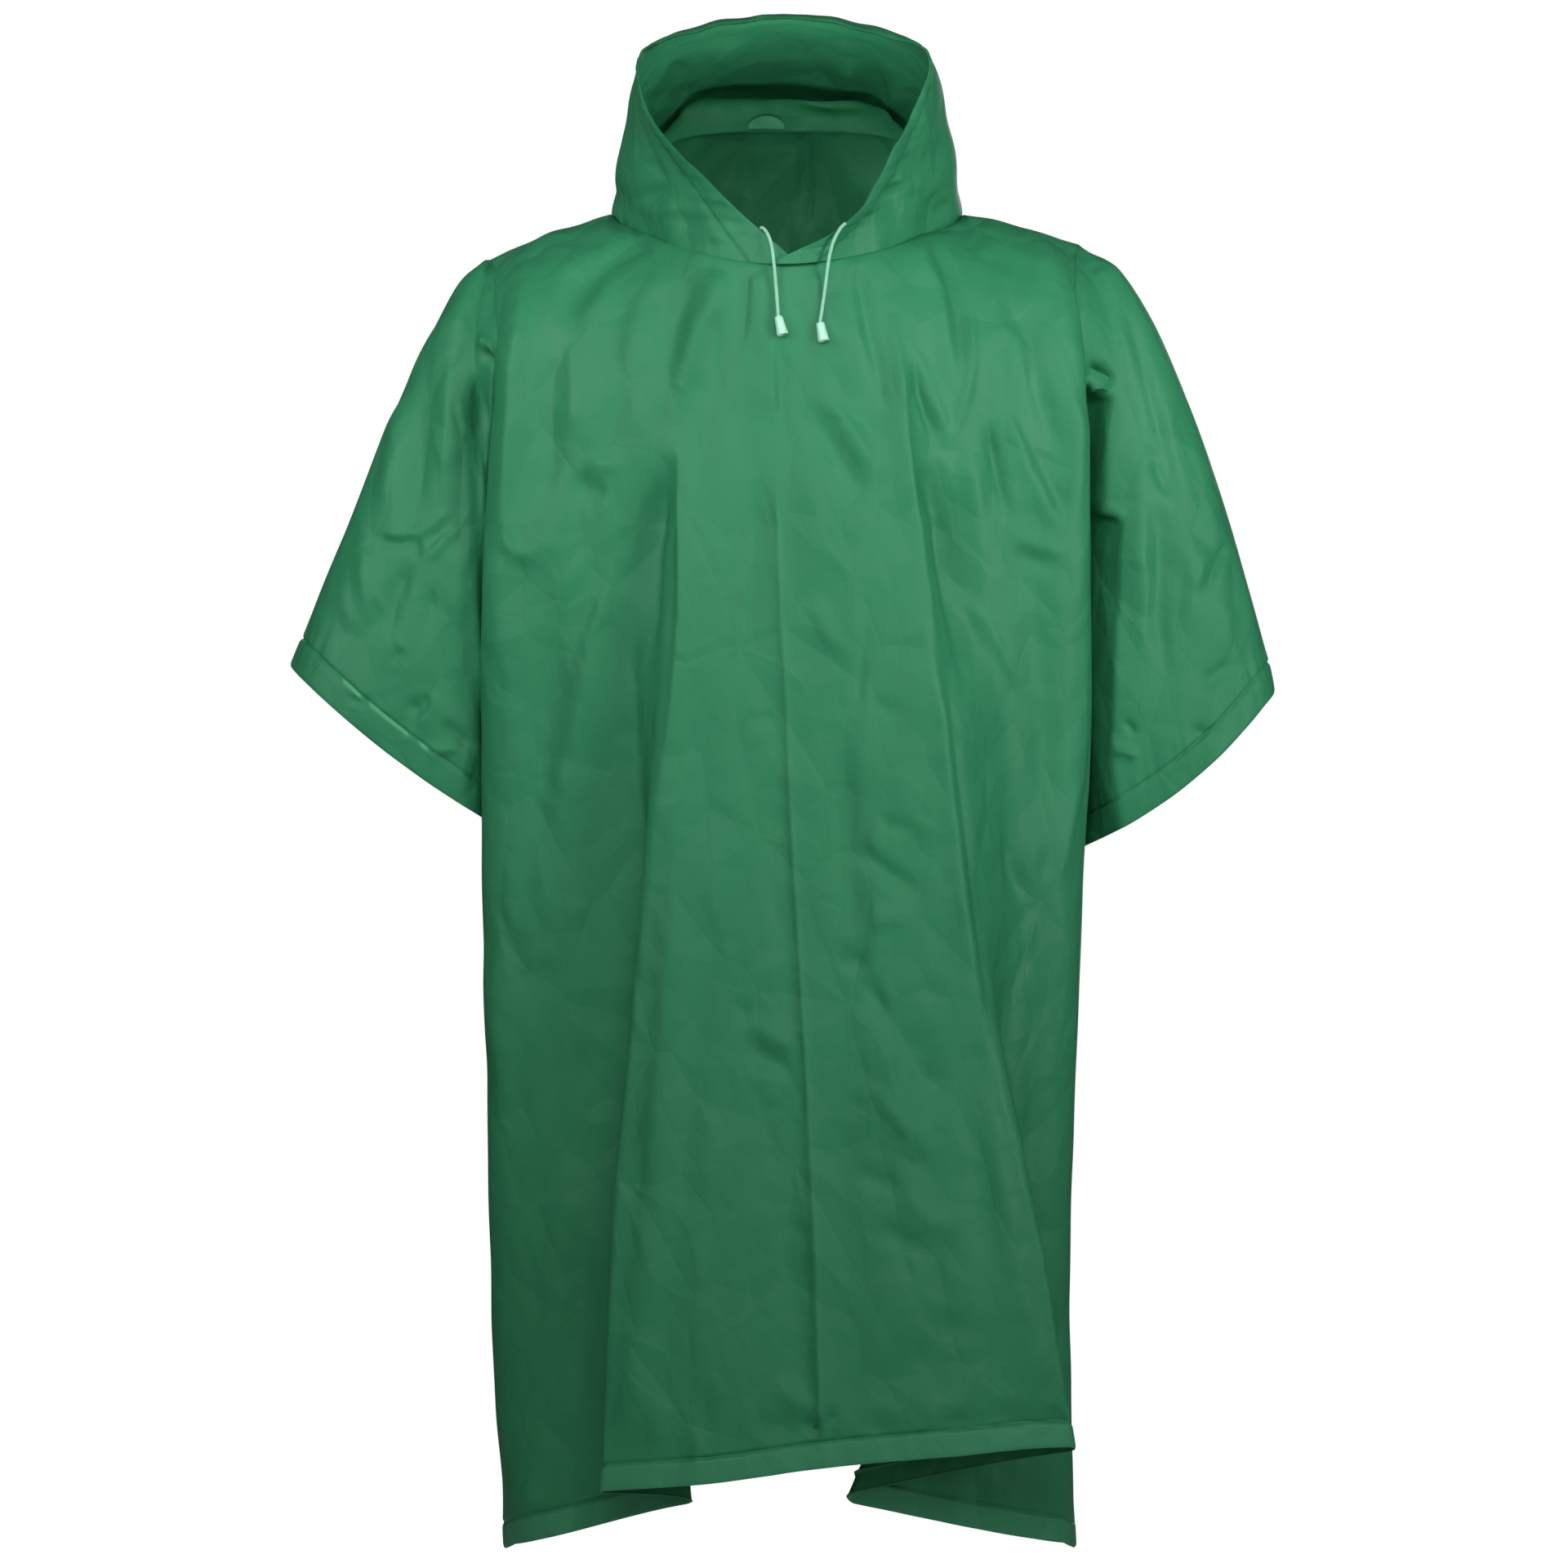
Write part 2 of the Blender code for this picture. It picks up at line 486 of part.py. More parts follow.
# --------------------------------------------------------------- solids of cloth
def grid_normals(grid, closed, flip, side_seams):
    """Unit normal at every grid point; on a seam of the middle plane it stays in that plane."""
    rows, columns = len(grid), len(grid[0])
    normals = []
    for r in range(rows):
        line = []
        for c in range(columns):
            before = grid[r][c - 1] if closed or c > 0 else grid[r][c]
            after = grid[r][(c + 1) % columns] if closed or c < columns - 1 else grid[r][c]
            up = grid[max(r - 1, 0)][c]
            down = grid[min(r + 1, rows - 1)][c]
            across = after - before
            if 0 < c < columns - 1 or closed:
                across = (after - grid[r][c]).normalized() + (grid[r][c] - before).normalized()
            normal = across.cross(down - up).normalized()
            if side_seams and abs(grid[r][c].y) < SEAM_GAP:
                normal = Vector((normal.x, 0.0, normal.z)).normalized()
            line.append(-normal if flip else normal)
        normals.append(line)
    return normals


def cloth_solid(name, grid, finish, wall=WALL, offset=0.0, closed=False, flip=False,
                side_seams=False, rows=None, first_column=0):
    """Closed wall round a grid of points, or round some of its rows; offset moves it outward."""
    normals = grid_normals(grid, closed, flip, side_seams)
    rows = rows or (0, len(grid))
    grid = [row[first_column:] for row in grid[rows[0]:rows[1]]]
    normals = [row[first_column:] for row in normals[rows[0]:rows[1]]]
    rows, columns = len(grid), len(grid[0])
    vertices = []
    for reach in (offset + wall / 2, offset - wall / 2):
        for r in range(rows):
            vertices += [grid[r][c] + normals[r][c] * reach for c in range(columns)]
    inner = rows * columns
    spans = columns if closed else columns - 1
    faces = []
    for r in range(rows - 1):
        for c in range(spans):
            a = r * columns + c
            b = r * columns + (c + 1) % columns
            for triangle in ((a, a + columns, b + columns), (a, b + columns, b)):
                faces.append(triangle)
                faces.append(tuple(inner + i for i in reversed(triangle)))
    for r, turned in ((0, False), (rows - 1, True)):
        for c in range(spans):
            a = r * columns + c
            b = r * columns + (c + 1) % columns
            quad = (a, b, inner + b, inner + a)
            faces.append(tuple(reversed(quad)) if turned else quad)
    if not closed:
        for c, turned in ((0, True), (columns - 1, False)):
            for r in range(rows - 1):
                a = r * columns + c
                b = a + columns
                quad = (a, b, inner + b, inner + a)
                faces.append(tuple(reversed(quad)) if turned else quad)
    if not flip:
        faces = [tuple(reversed(face)) for face in faces]
    return mesh_object(name, vertices, faces, finish)


def mesh_object(name, vertices, faces, finish):
    """Blender object from points and faces, with its material."""
    mesh = bpy.data.meshes.new(name)
    mesh.from_pydata([tuple(v) for v in vertices], [], faces)
    mesh.validate()
    mesh.shade_smooth()
    mesh.set_sharp_from_angle(angle=math.radians(50.0))
    mesh.materials.append(material(name, finish))
    piece = bpy.data.objects.new(name, mesh)
    bpy.context.scene.collection.objects.link(piece)
    return piece


def material(name, finish):
    """Principled material of one sub-part."""
    made = bpy.data.materials.new(name + "_material")
    made.use_nodes = True
    shader = made.node_tree.nodes["Principled BSDF"]
    shader.inputs["Base Color"].default_value = finish.colour + (1.0,)
    shader.inputs["Roughness"].default_value = finish.roughness
    shader.inputs["Metallic"].default_value = 0.0
    return made


def with_hem_row(grid, width):
    """The grid with a line of points one hem width above its edge."""
    line = [low + (high - low).normalized() * width for low, high in zip(grid[-1], grid[-2])]
    return grid[:-1] + [line] + grid[-1:]


# ------------------------------------------------------------- cords and fittings
def cord_object(name, route, finish):
    """Cord as a bevelled curve through points read from a smooth curve."""
    steps = 20
    data = bpy.data.curves.new(name, "CURVE")
    data.dimensions = "3D"
    data.bevel_depth = CORD_DIAMETER / 2
    data.bevel_resolution = 2
    data.use_fill_caps = True
    spline = data.splines.new("POLY")
    spline.points.add(steps)
    for i in range(steps + 1):
        point = catmull(route, (len(route) - 1) * i / steps)
        spline.points[i].co = (point.x, point.y, point.z, 1.0)
    data.materials.append(material(name, finish))
    piece = bpy.data.objects.new(name, data)
    bpy.context.scene.collection.objects.link(piece)
    return piece


def stopper_object(name, route, lean, finish):
    """Bell-shaped cord end, open below, turned about its own leaning axis."""
    sides = 14
    axis = Vector(lean).normalized()
    across = axis.cross(Vector((0.0, 1.0, 0.0))).normalized()
    front = axis.cross(across)
    start = Vector(route[-1]) + axis * STOPPER_GAP
    rings = STOPPER_OUTSIDE + STOPPER_INSIDE
    vertices = []
    for ring in rings:
        centre = start + axis * (STOPPER_LENGTH * ring.along)
        for i in range(sides):
            angle = 2.0 * math.pi * i / sides
            vertices.append(centre + (across * math.cos(angle) + front * math.sin(angle))
                            * ring.radius)
    faces = []
    for r in range(len(rings) - 1):
        for i in range(sides):
            j = (i + 1) % sides
            faces.append((r * sides + i, r * sides + j, (r + 1) * sides + j, (r + 1) * sides + i))
    faces.append(tuple(range(sides))[::-1])
    faces.append(tuple((len(rings) - 1) * sides + i for i in range(sides)))
    return mesh_object(name, vertices, faces, finish)


def hanging_tab():
    """Half-round tab that stands on the nape seam, inside the hood."""
    columns = 9
    rows = []
    for share in (1.0, 0.5, 0.0):
        line = []
        for i in range(columns):
            across = -1.0 + 2.0 * i / (columns - 1)
            x = LOOP_MIDDLE_X + LOOP_HALF_WIDTH * across
            base = neck_point(180.0 - x * NAPE_DEGREES_PER_METRE)
            height = HOOD_LIFT + LOOP_HEIGHT * share * math.sqrt(max(0.0, 1.04 - across * across))
            line.append(Vector((x, base.y - LOOP_STAND_OFF - LOOP_LEAN * height,
                                base.z + height)))
        rows.append(line)
    return cloth_solid("hanging_tab", rows, FILM_HEM, wall=HEM_WALL)


# ------------------------------------------------------------------------ build
def build():
    """Clear the scene and make every piece of the poncho."""
    for old in list(bpy.data.objects):
        bpy.data.objects.remove(old, do_unlink=True)
    front = front_grid()
    back = back_grid()
    hem_offset = WALL / 2 + SEAM_GAP + HEM_WALL / 2
    casing_offset = -(WALL / 2 + SEAM_GAP + CASING_WALL / 2)
    for place, grid in (("front", front), ("back", back)):
        flip = place == "back"
        cloth_solid(place + "_panel", grid, FILM, flip=flip, side_seams=True)
        cloth_solid(place + "_hem", grid, FILM_HEM, HEM_WALL, hem_offset, flip=flip,
                    side_seams=True, rows=(len(grid) - 2, len(grid)))
    for half, side, column, rings in (("right", -1, 0, SLEEVE_RIGHT),
                                      ("left", 1, -1, SLEEVE_LEFT)):
        sleeve = sleeve_grid(rings, front, back, column, side)
        flip = half == "left"
        cloth_solid("sleeve_" + half, sleeve, FILM, closed=True, flip=flip)
        cloth_solid("sleeve_hem_" + half, sleeve, FILM_HEM, HEM_WALL, hem_offset, closed=True,
                    flip=flip, rows=(len(sleeve) - 2, len(sleeve)))
        hood = hood_grid(half)
        cloth_solid("hood_" + half, hood, FILM, flip=not flip)
        cloth_solid("hood_casing_" + half, hood, FILM_HEM, CASING_WALL, casing_offset,
                    flip=not flip, rows=(0, CASING_ROWS), first_column=CASING_START[half])
    hanging_tab()
    for half, route in (("right", CORD_RIGHT), ("left", CORD_LEFT)):
        cord_object("drawcord_" + half, route, CORD)
        stopper_object("cord_stopper_" + half, route, STOPPER_LEAN[half], STOPPER)


build()
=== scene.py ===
"""Looks of the rain poncho: creased film, welds, drawcord and studio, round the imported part.

Metres, +Z up, -Y is the front and +X is the wearer's left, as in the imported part. Folds are
placed in millimetres on the view plane: the plane y = 0 as the camera sees it.
"""

import logging
import math
from dataclasses import dataclass, field
from enum import Enum

import bpy
import numpy as np
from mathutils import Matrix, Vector


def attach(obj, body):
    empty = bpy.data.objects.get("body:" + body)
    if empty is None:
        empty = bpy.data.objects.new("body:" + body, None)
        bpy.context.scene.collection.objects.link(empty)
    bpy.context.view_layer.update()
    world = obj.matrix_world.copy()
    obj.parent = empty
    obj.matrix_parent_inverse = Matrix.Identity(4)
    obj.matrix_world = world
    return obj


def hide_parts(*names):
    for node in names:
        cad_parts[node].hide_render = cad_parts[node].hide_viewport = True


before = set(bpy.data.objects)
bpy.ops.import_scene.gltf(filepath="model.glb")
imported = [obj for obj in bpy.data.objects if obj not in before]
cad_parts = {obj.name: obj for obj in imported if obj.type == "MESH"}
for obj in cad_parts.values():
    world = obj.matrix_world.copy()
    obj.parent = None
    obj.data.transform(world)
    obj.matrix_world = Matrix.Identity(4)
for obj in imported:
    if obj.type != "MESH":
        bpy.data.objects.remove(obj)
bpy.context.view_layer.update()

Array = np.ndarray
Pair = tuple[float, float]
Triple = tuple[float, float, float]
Section = tuple[int, Triple, Triple, Triple, Triple, Triple]
Words = tuple[str, str]
Piece = bpy.types.Object
Material = bpy.types.Material
Socket = bpy.types.NodeSocket

LOG = logging.getLogger("poncho")
BODY = "root"
MM = 0.001
FREE = 10.0                     # bend radius of film that is not folded, metres
SHELL = 0.0005                  # thickness of the film's shell
INNER_LAYER = -0.0008           # offset of a hem's turned layer inside its sheet
BAND_SHARE = 1.3                # a sheet's fine rows reach this many hem widths up
SEAM_GAP = 0.0003               # between the front and the back panel
RUNS_PER_SPAN = 6               # straight runs between two points of a fold's path
FOLD_REACH = 2.6                # widths beyond which a fold is flat
SHARP_CREST = 1.1               # folds up to this crest are paler along their top
BEND_ROUNDS, BEND_STEP = 8, 0.7 # how the corners are moved until the bends touch the guides
BEND_POINTS = 17
BEND_ROOM = 0.46                # share of the way to the next guide that a bend may take
CAP_LEVELS = 5.0                # level of a panel's edge at the yoke; 0 at the shoulder
FALL_PER_LEVEL = 0.075          # share of the fall for each level below the yoke
CHEST_LEVEL, CHEST_RUN = 7.0, 3.0       # the zones part below this level, within this run
UNDERARM_LEVEL = 9.0
UNDERARM_FALL = 0.30            # the side seams close from here down
CAMERA = (0.0, -4.2, -0.473)    # level, looking along +Y
VIEW_WIDTH = 1.3056             # width of the view plane that the frame shows
SENSOR_MM = 36.0
WHITE = (1.0, 1.0, 1.0, 1.0)


class Side(Enum):
    """Side of the wearer, with the sign of x there."""

    RIGHT = -1
    LEFT = 1

    @property
    def word(self) -> str:
        """The side as it stands in the names of pieces."""
        return self.name.lower()


class Face(Enum):
    """Front or back, with the sign of y there."""

    FRONT = -1
    BACK = 1


class Zone(Enum):
    """Where a fold lies: first and last place among a panel's guides, and the soft edge."""

    WHOLE = (2.8, 7.2, 0.2)     # the whole chest, and the middle below it
    MIDDLE = (3.0, 7.0, 0.15)   # the front layer between the two deep folds
    RIGHT = (-1.0, 2.3, 0.25)   # behind the right deep fold
    LEFT = (7.7, 12.0, 0.25)    # behind the left deep fold


# ------------------------------------------------------------------ curve tools
def smooth(knots: Array, places: Array) -> Array:
    """Points on a smooth curve through knots.

    Args:
        knots: one row for each knot.
        places: knot numbers, with fractions between the knots.

    Returns:
        One row for each place.
    """
    last = len(knots) - 1
    places = np.clip(places, 0.0, last)
    start = np.minimum(places.astype(int), last - 1)
    t = (places - start).reshape((-1,) + (1,) * (knots.ndim - 1))
    padded = np.concatenate([2 * knots[:1] - knots[1:2], knots, 2 * knots[-1:] - knots[-2:-1]])
    p0, p1, p2, p3 = (padded[start + i] for i in range(4))
    return 0.5 * (2 * p1 + (p2 - p0) * t + (2 * p0 - 5 * p1 + 4 * p2 - p3) * t ** 2
                  + (3 * p1 - 3 * p2 + p3 - p0) * t ** 3)


def place_in(keys: Array, values: Array) -> Array:
    """Fractional places of values in rising keys."""
    return np.interp(values, keys, np.arange(len(keys)))


def ease(x: Array) -> Array:
    """Smooth step of x from 0 to 1, flat outside."""
    x = np.clip(x, 0.0, 1.0)
    return x * x * (3.0 - 2.0 * x)


def unit(vectors: Array) -> Array:
    """Vectors of length one along the last axis."""
    return vectors / np.maximum(np.linalg.norm(vectors, axis=-1, keepdims=True), 1e-12)


def run_length(points: Array, axis: int) -> Array:
    """Distance of each point from the first one, along an axis of the grid.

    Args:
        points: rows by columns by 3.
        axis: 0 to measure down the columns, 1 along the rows.

    Returns:
        Rows by columns.
    """
    steps = np.linalg.norm(np.diff(points, axis=axis), axis=2)
    return np.concatenate([steps.take([0], axis) * 0.0, np.cumsum(steps, axis=axis)], axis=axis)


def graded(counts: tuple[int, ...], gather: float) -> Array:
    """Places along a row of guides, gathered near each guide.

    Args:
        counts: steps between each guide and the next.
        gather: 0 for even steps, towards 1 for steps that crowd at the guides.

    Returns:
        Rising places, 0 at the first guide.
    """
    places = [np.array([0.0])]
    for guide, count in enumerate(counts):
        share = np.arange(1, count + 1) / count
        places.append(guide + share - gather * np.sin(2 * np.pi * share) / (2 * np.pi))
    return np.concatenate(places)


# ------------------------------------------------------------------------ folds
@dataclass(frozen=True)
class Fold:
    """One fold of the film along a path on the view plane, in millimetres.

    A height above 0 is a ridge and below 0 a trough. left and right are its reach on each
    side, seen along the path; a crest under 2 is sharper. begin and end are the shares of
    the path over which it rises and fades.
    """

    path: tuple[Pair, ...]
    height: float
    left: float
    right: float
    crest: float = 2.0
    begin: float = 0.35
    end: float = 0.35

    def lift(self, u: Array, v: Array) -> Array:
        """Height of the fold at points of the view plane.

        Args:
            u: across, metres.
            v: upward, metres.

        Returns:
            The height in metres, 0 outside the fold's reach.
        """
        spans = len(self.path) - 1
        line = smooth(np.array(self.path) * MM, np.linspace(0, spans, RUNS_PER_SPAN * spans + 1))
        reach = FOLD_REACH * max(self.left, self.right) * MM
        low, high = line.min(axis=0) - reach, line.max(axis=0) + reach
        near = (u > low[0]) & (u < high[0]) & (v > low[1]) & (v < high[1])
        lifted = np.zeros_like(u)
        if not near.any():
            return lifted
        point = np.stack([u[near], v[near]], axis=-1)
        run = line[1:] - line[:-1]
        lengths = np.linalg.norm(run, axis=1)
        from_start = point[:, None] - line[None, :-1]
        t = np.clip((from_start * run).sum(-1) / lengths ** 2, 0.0, 1.0)
        away = from_start - t[..., None] * run
        nearest = (away ** 2).sum(-1).argmin(axis=1)
        pick = (np.arange(len(point)), nearest)
        gap = away[pick]
        distance = np.linalg.norm(gap, axis=1)
        on_left = run[nearest, 0] * gap[:, 1] - run[nearest, 1] * gap[:, 0] > 0.0
        width = np.where(on_left, self.left, self.right) * MM
        starts = np.concatenate([[0.0], np.cumsum(lengths)[:-1]])
        along = (starts[nearest] + t[pick] * lengths[nearest]) / lengths.sum()
        taper = ease(along / max(self.begin, 1e-3)) * ease((1.0 - along) / max(self.end, 1e-3))
        lifted[near] = self.height * MM * taper * np.exp(-(distance / width) ** self.crest)
        return lifted


Zoned = tuple[tuple[Zone, Fold], ...]


def in_zone(zone: Zone, *folds: Fold) -> Zoned:
    """Folds, each with the zone that it lies in."""
    return tuple((zone, fold) for fold in folds)


def turned(folds: Zoned, move: Pair) -> Zoned:
    """Similar folds for the hidden back.

    Args:
        folds: folds of the front.
        move: how far they move to the left and up after left and right are swapped, in mm.

    Returns:
        The swapped and moved folds.
    """
    made = [Fold(tuple((move[0] - u, v + move[1]) for u, v in fold.path), fold.height,
                 fold.right, fold.left, fold.crest, fold.begin, fold.end) for _, fold in folds]
    return in_zone(Zone.WHOLE, *made)


def lift_of(folds: tuple[Fold, ...], u: Array, v: Array) -> Array:
    """Sum of the heights of folds.

    Args:
        folds: the folds.
        u: across the view plane, metres.
        v: upward on it, metres.

    Returns:
        The height at each point, metres.
    """
    total = np.zeros_like(u)
    for fold in folds:
        total += fold.lift(u, v)
    return total


@dataclass(frozen=True)
class Waves:
    """Gentle uneven waves between about -1 and 1, with typical lengths in metres."""

    count: int
    across: float
    down: float = 9.0

    def at(self, seed: int, u: Array, v: Array) -> Array:
        """Height of the waves.

        Args:
            seed: fixes the waves.
            u: first coordinate of each point, metres.
            v: second coordinate of each point, metres.

        Returns:
            The height at each point.
        """
        dice = np.random.default_rng(seed)
        total = np.zeros_like(u)
        for _ in range(self.count):
            a = dice.normal(1.0, 0.35) / self.across
            b = dice.normal(0.0, 1.0) / self.down
            total += np.sin(2 * np.pi * (a * u + b * v) + dice.uniform(0.0, 2 * np.pi))
        return total / math.sqrt(self.count)


@dataclass(frozen=True)
class HemRelief:
    """Raised double-film band above an edge, its weld line and the puckers it draws."""

    width: float
    seed: int
    belly: float = 0.0004
    step: float = 0.0006
    step_run: float = 0.0020
    weld_depth: float = 0.0018
    weld_gap: float = 0.0012        # from the band's upper edge to the weld line
    weld_spread: float = 0.0015
    fade: float = 0.014             # how far up the puckers reach
    puckers: Waves = Waves(9, 0.028)
    pucker_heights: Pair = (0.00080, 0.00030)       # above the band, and on it
    fine: Waves = Waves(8, 0.011)
    fine_heights: Pair = (0.00030, 0.00012)

    def height(self, edge: Array, along: Array) -> Array:
        """Height of the band and its surroundings.

        Args:
            edge: distance from the edge, metres.
            along: position along the edge, metres.

        Returns:
            Height in metres.
        """
        share = edge / self.width
        above_line = edge - self.width
        belly = self.belly * np.sin(np.pi * np.clip(share, 0.0, 1.0)) ** 0.6
        belly += self.step * ease(-above_line / self.step_run) * ease(edge / self.step_run)
        weld = self.weld_depth * np.exp(-((above_line - self.weld_gap) / self.weld_spread) ** 2)
        above = np.exp(-np.clip(above_line / self.fade, 0.0, 9.0)) * (edge > self.width)
        inside = np.clip(share, 0.0, 1.0) * (edge <= self.width)
        height = belly - weld
        for number, waves, (high, low) in ((7, self.puckers, self.pucker_heights),
                                           (8, self.fine, self.fine_heights)):
            height += waves.at(self.seed + number, along, edge * 0.0) * (high * above
                                                                         + low * inside)
        return height


# ------------------------------------------------------------------- film sheet
class Film:
    """A sheet of film as a grid of points: rows run down the cloth, columns across it."""

    def __init__(self, points: Array, closed: bool, outward: float) -> None:
        """Keep the grid.

        Args:
            points: rows by columns by 3.
            closed: True if the last column joins the first.
            outward: 1 or -1, which turns across x down into the outside.
        """
        self.points = points
        self.closed = closed
        self.outward = outward
        # share of the pale colour: real crease wear, and painted highlights on the front hem band
        # and the right cuff's weld line
        self.paleness_and_highlight = np.zeros(points.shape[:2])

    def normals(self) -> Array:
        """Normals of the sheet.

        Returns:
            Unit vectors that point outside, rows by columns by 3.
        """
        if self.closed:
            ring = np.concatenate([self.points[:, -1:], self.points, self.points[:, :1]], axis=1)
            across = unit(ring[:, 2:] - ring[:, 1:-1]) + unit(ring[:, 1:-1] - ring[:, :-2])
        else:
            step = unit(np.diff(self.points, axis=1))
            across = np.concatenate([step[:, :1], step[:, 1:] + step[:, :-1], step[:, -1:]], axis=1)
        down = np.gradient(self.points, axis=0)
        return unit(np.cross(across, down)) * self.outward

    def on_view(self) -> tuple[Array, Array]:
        """Where the camera sees each point on the plane y = 0.

        Returns:
            u across and v upward, metres.
        """
        depth = (self.points[..., 1] - CAMERA[1]) / -CAMERA[1]
        u = self.points[..., 0] / depth
        v = (self.points[..., 2] - CAMERA[2]) / depth + CAMERA[2]
        return u, v

    def from_top(self) -> Array:
        """Distance of each point from the first row, along its column."""
        return run_length(self.points, 0)

    def from_edge(self) -> Array:
        """Distance of each point from the last row, along its column."""
        return run_length(self.points[::-1], 0)[::-1]

    def from_sides(self) -> Array:
        """Distance of each point from the nearer side edge, along its row."""
        left = run_length(self.points, 1)
        return np.minimum(left, left[:, -1:] - left)

    def raise_by(self, height: Array) -> None:
        """Move every point out by its height."""
        self.points = self.points + self.normals() * height[..., None]

    def strip(self, rows: slice, offset: float) -> "Film":
        """Copy of some rows, moved out by an offset; a minus sign is inside."""
        moved = self.points + self.normals() * offset
        return Film(moved[rows].copy(), self.closed, self.outward)

    def turned_hem(self, fine_rows: int) -> "Film":
        """Inner layer of the hem, along the last row of a sheet with some fine rows."""
        return self.strip(slice(-int(fine_rows / BAND_SHARE) - 1, None), INNER_LAYER)

    def make(self, name: str, material: Material, shell: float = SHELL) -> Piece:
        """Closed thin shell of the sheet.

        Args:
            name: name of the piece.
            material: its finish.
            shell: its thickness in metres.

        Returns:
            The piece, linked to the scene.
        """
        rows, columns = self.points.shape[:2]
        half = self.normals() * shell / 2
        vertices = np.concatenate([(self.points + half).reshape(-1, 3),
                                   (self.points - half).reshape(-1, 3)])
        number = np.arange(rows * columns).reshape(rows, columns)
        if self.closed:
            number = np.concatenate([number, number[:, :1]], axis=1)
        a, b = number[:-1, :-1], number[:-1, 1:]
        c, d = number[1:, 1:], number[1:, :-1]
        outside = np.stack([a, d, c, b], axis=-1).reshape(-1, 4)
        lines = [number[0], number[-1][::-1]]
        if not self.closed:
            lines += [number[::-1, 0], number[:, -1]]
        rims = [self._rim(line, rows * columns) for line in lines]
        faces = np.concatenate([outside, outside[:, ::-1] + rows * columns] + rims)
        if self.outward > 0:
            faces = faces[:, ::-1]
        mesh = bpy.data.meshes.new(name)
        mesh.from_pydata(vertices.tolist(), [], faces.tolist())
        mesh.shade_smooth()
        mesh.set_sharp_from_angle(angle=math.radians(60.0))
        # the pale colour's share, crease wear and painted highlights, goes to the material
        paleness_and_highlight = mesh.attributes.new("paleness_and_highlight", "FLOAT", "POINT")
        paleness_and_highlight.data.foreach_set("value", np.tile(self.paleness_and_highlight.ravel(), 2).astype(np.float32))
        return into_scene(name, mesh, material)

    @staticmethod
    def _rim(line: Array, shift: int) -> Array:
        """Faces that join an edge line of the outside to the inside."""
        return np.stack([line[:-1], line[1:], line[1:] + shift, line[:-1] + shift], axis=-1)


def into_scene(name: str, data: bpy.types.ID, material: Material | None = None) -> Piece:
    """Object of some data, linked to the scene.

    Args:
        name: its name.
        data: mesh, curve, light or camera.
        material: finish of a mesh or curve.

    Returns:
        The object.
    """
    if material is not None:
        data.materials.append(material)
    made = bpy.data.objects.new(name, data)
    bpy.context.scene.collection.objects.link(made)
    return made


# -------------------------------------------------------------------- finishes
class Nodes:
    """Small helper that builds a material's or world's node tree."""

    def __init__(self, tree: bpy.types.NodeTree) -> None:
        """Keep the tree."""
        self.tree = tree

    def add(self, kind: str, **values: object) -> bpy.types.Node:
        """New node.

        Args:
            kind: its type.
            values: its properties by name.

        Returns:
            The node.
        """
        node = self.tree.nodes.new(kind)
        for key, value in values.items():
            setattr(node, key, value)
        return node

    def link(self, source: Socket, target: Socket) -> None:
        """Join an output to an input."""
        self.tree.links.new(source, target)

    def texture(self, kind: str, scale: Triple, **values: object) -> bpy.types.Node:
        """Texture node in object coordinates that are scaled on each axis.

        Args:
            kind: its type.
            scale: scale on each axis, in features for each metre.
            values: its properties by name.

        Returns:
            The node, with its own scale at 1.
        """
        place = self.add("ShaderNodeTexCoord")
        mapping = self.add("ShaderNodeMapping")
        mapping.inputs["Scale"].default_value = scale
        self.link(place.outputs["Object"], mapping.inputs["Vector"])
        node = self.add(kind, **values)
        node.inputs["Scale"].default_value = 1.0
        self.link(mapping.outputs["Vector"], node.inputs["Vector"])
        return node

    def noise(self, scale: Triple, detail: float, roughness: float = 0.5) -> Socket:
        """Cloudy value between 0 and 1.

        Args:
            scale: clouds for each metre, on each axis.
            detail: number of finer layers.
            roughness: how strong the finer layers are.

        Returns:
            The value.
        """
        node = self.texture("ShaderNodeTexNoise", scale)
        node.inputs["Detail"].default_value = detail
        node.inputs["Roughness"].default_value = roughness
        return node.outputs["Fac"]

    def facets(self, scale: Triple) -> Socket:
        """Height of small flat facets with crisp valleys between them."""
        node = self.texture("ShaderNodeTexVoronoi", scale, feature="DISTANCE_TO_EDGE")
        return node.outputs["Distance"]

    def ranged(self, value: Socket, source: Pair, target: Pair) -> Socket:
        """Value mapped from one range to another.

        Args:
            value: the value.
            source: range that it comes in.
            target: range that it goes to.

        Returns:
            The mapped value, clamped to the target.
        """
        node = self.add("ShaderNodeMapRange")
        for name, number in zip(("From Min", "From Max", "To Min", "To Max"), source + target):
            node.inputs[name].default_value = number
        self.link(value, node.inputs["Value"])
        return node.outputs["Result"]

    def mixed(self, share: Socket, one: Triple | Socket, two: Triple) -> Socket:
        """Colour between two others.

        Args:
            share: 0 for the first colour, 1 for the second.
            one: first colour, fixed or from another node.
            two: second colour.

        Returns:
            The colour.
        """
        node = self.add("ShaderNodeMix", data_type="RGBA")
        self.link(share, node.inputs["Factor"])
        if isinstance(one, tuple):
            node.inputs[6].default_value = one + (1.0,)
        else:
            self.link(one, node.inputs[6])
        node.inputs[7].default_value = two + (1.0,)
        return node.outputs[2]

    def bump(self, height: Socket, size: Pair, under: Socket | None = None) -> Socket:
        """Normal raised by a height.

        Args:
            height: the height, between 0 and 1.
            size: distance in metres that 1 stands for, and strength.
            under: normal that it lies on top of.

        Returns:
            The new normal.
        """
        node = self.add("ShaderNodeBump")
        node.inputs["Distance"].default_value, node.inputs["Strength"].default_value = size
        self.link(height, node.inputs["Height"])
        if under is not None:
            self.link(under, node.inputs["Normal"])
        return node.outputs["Normal"]


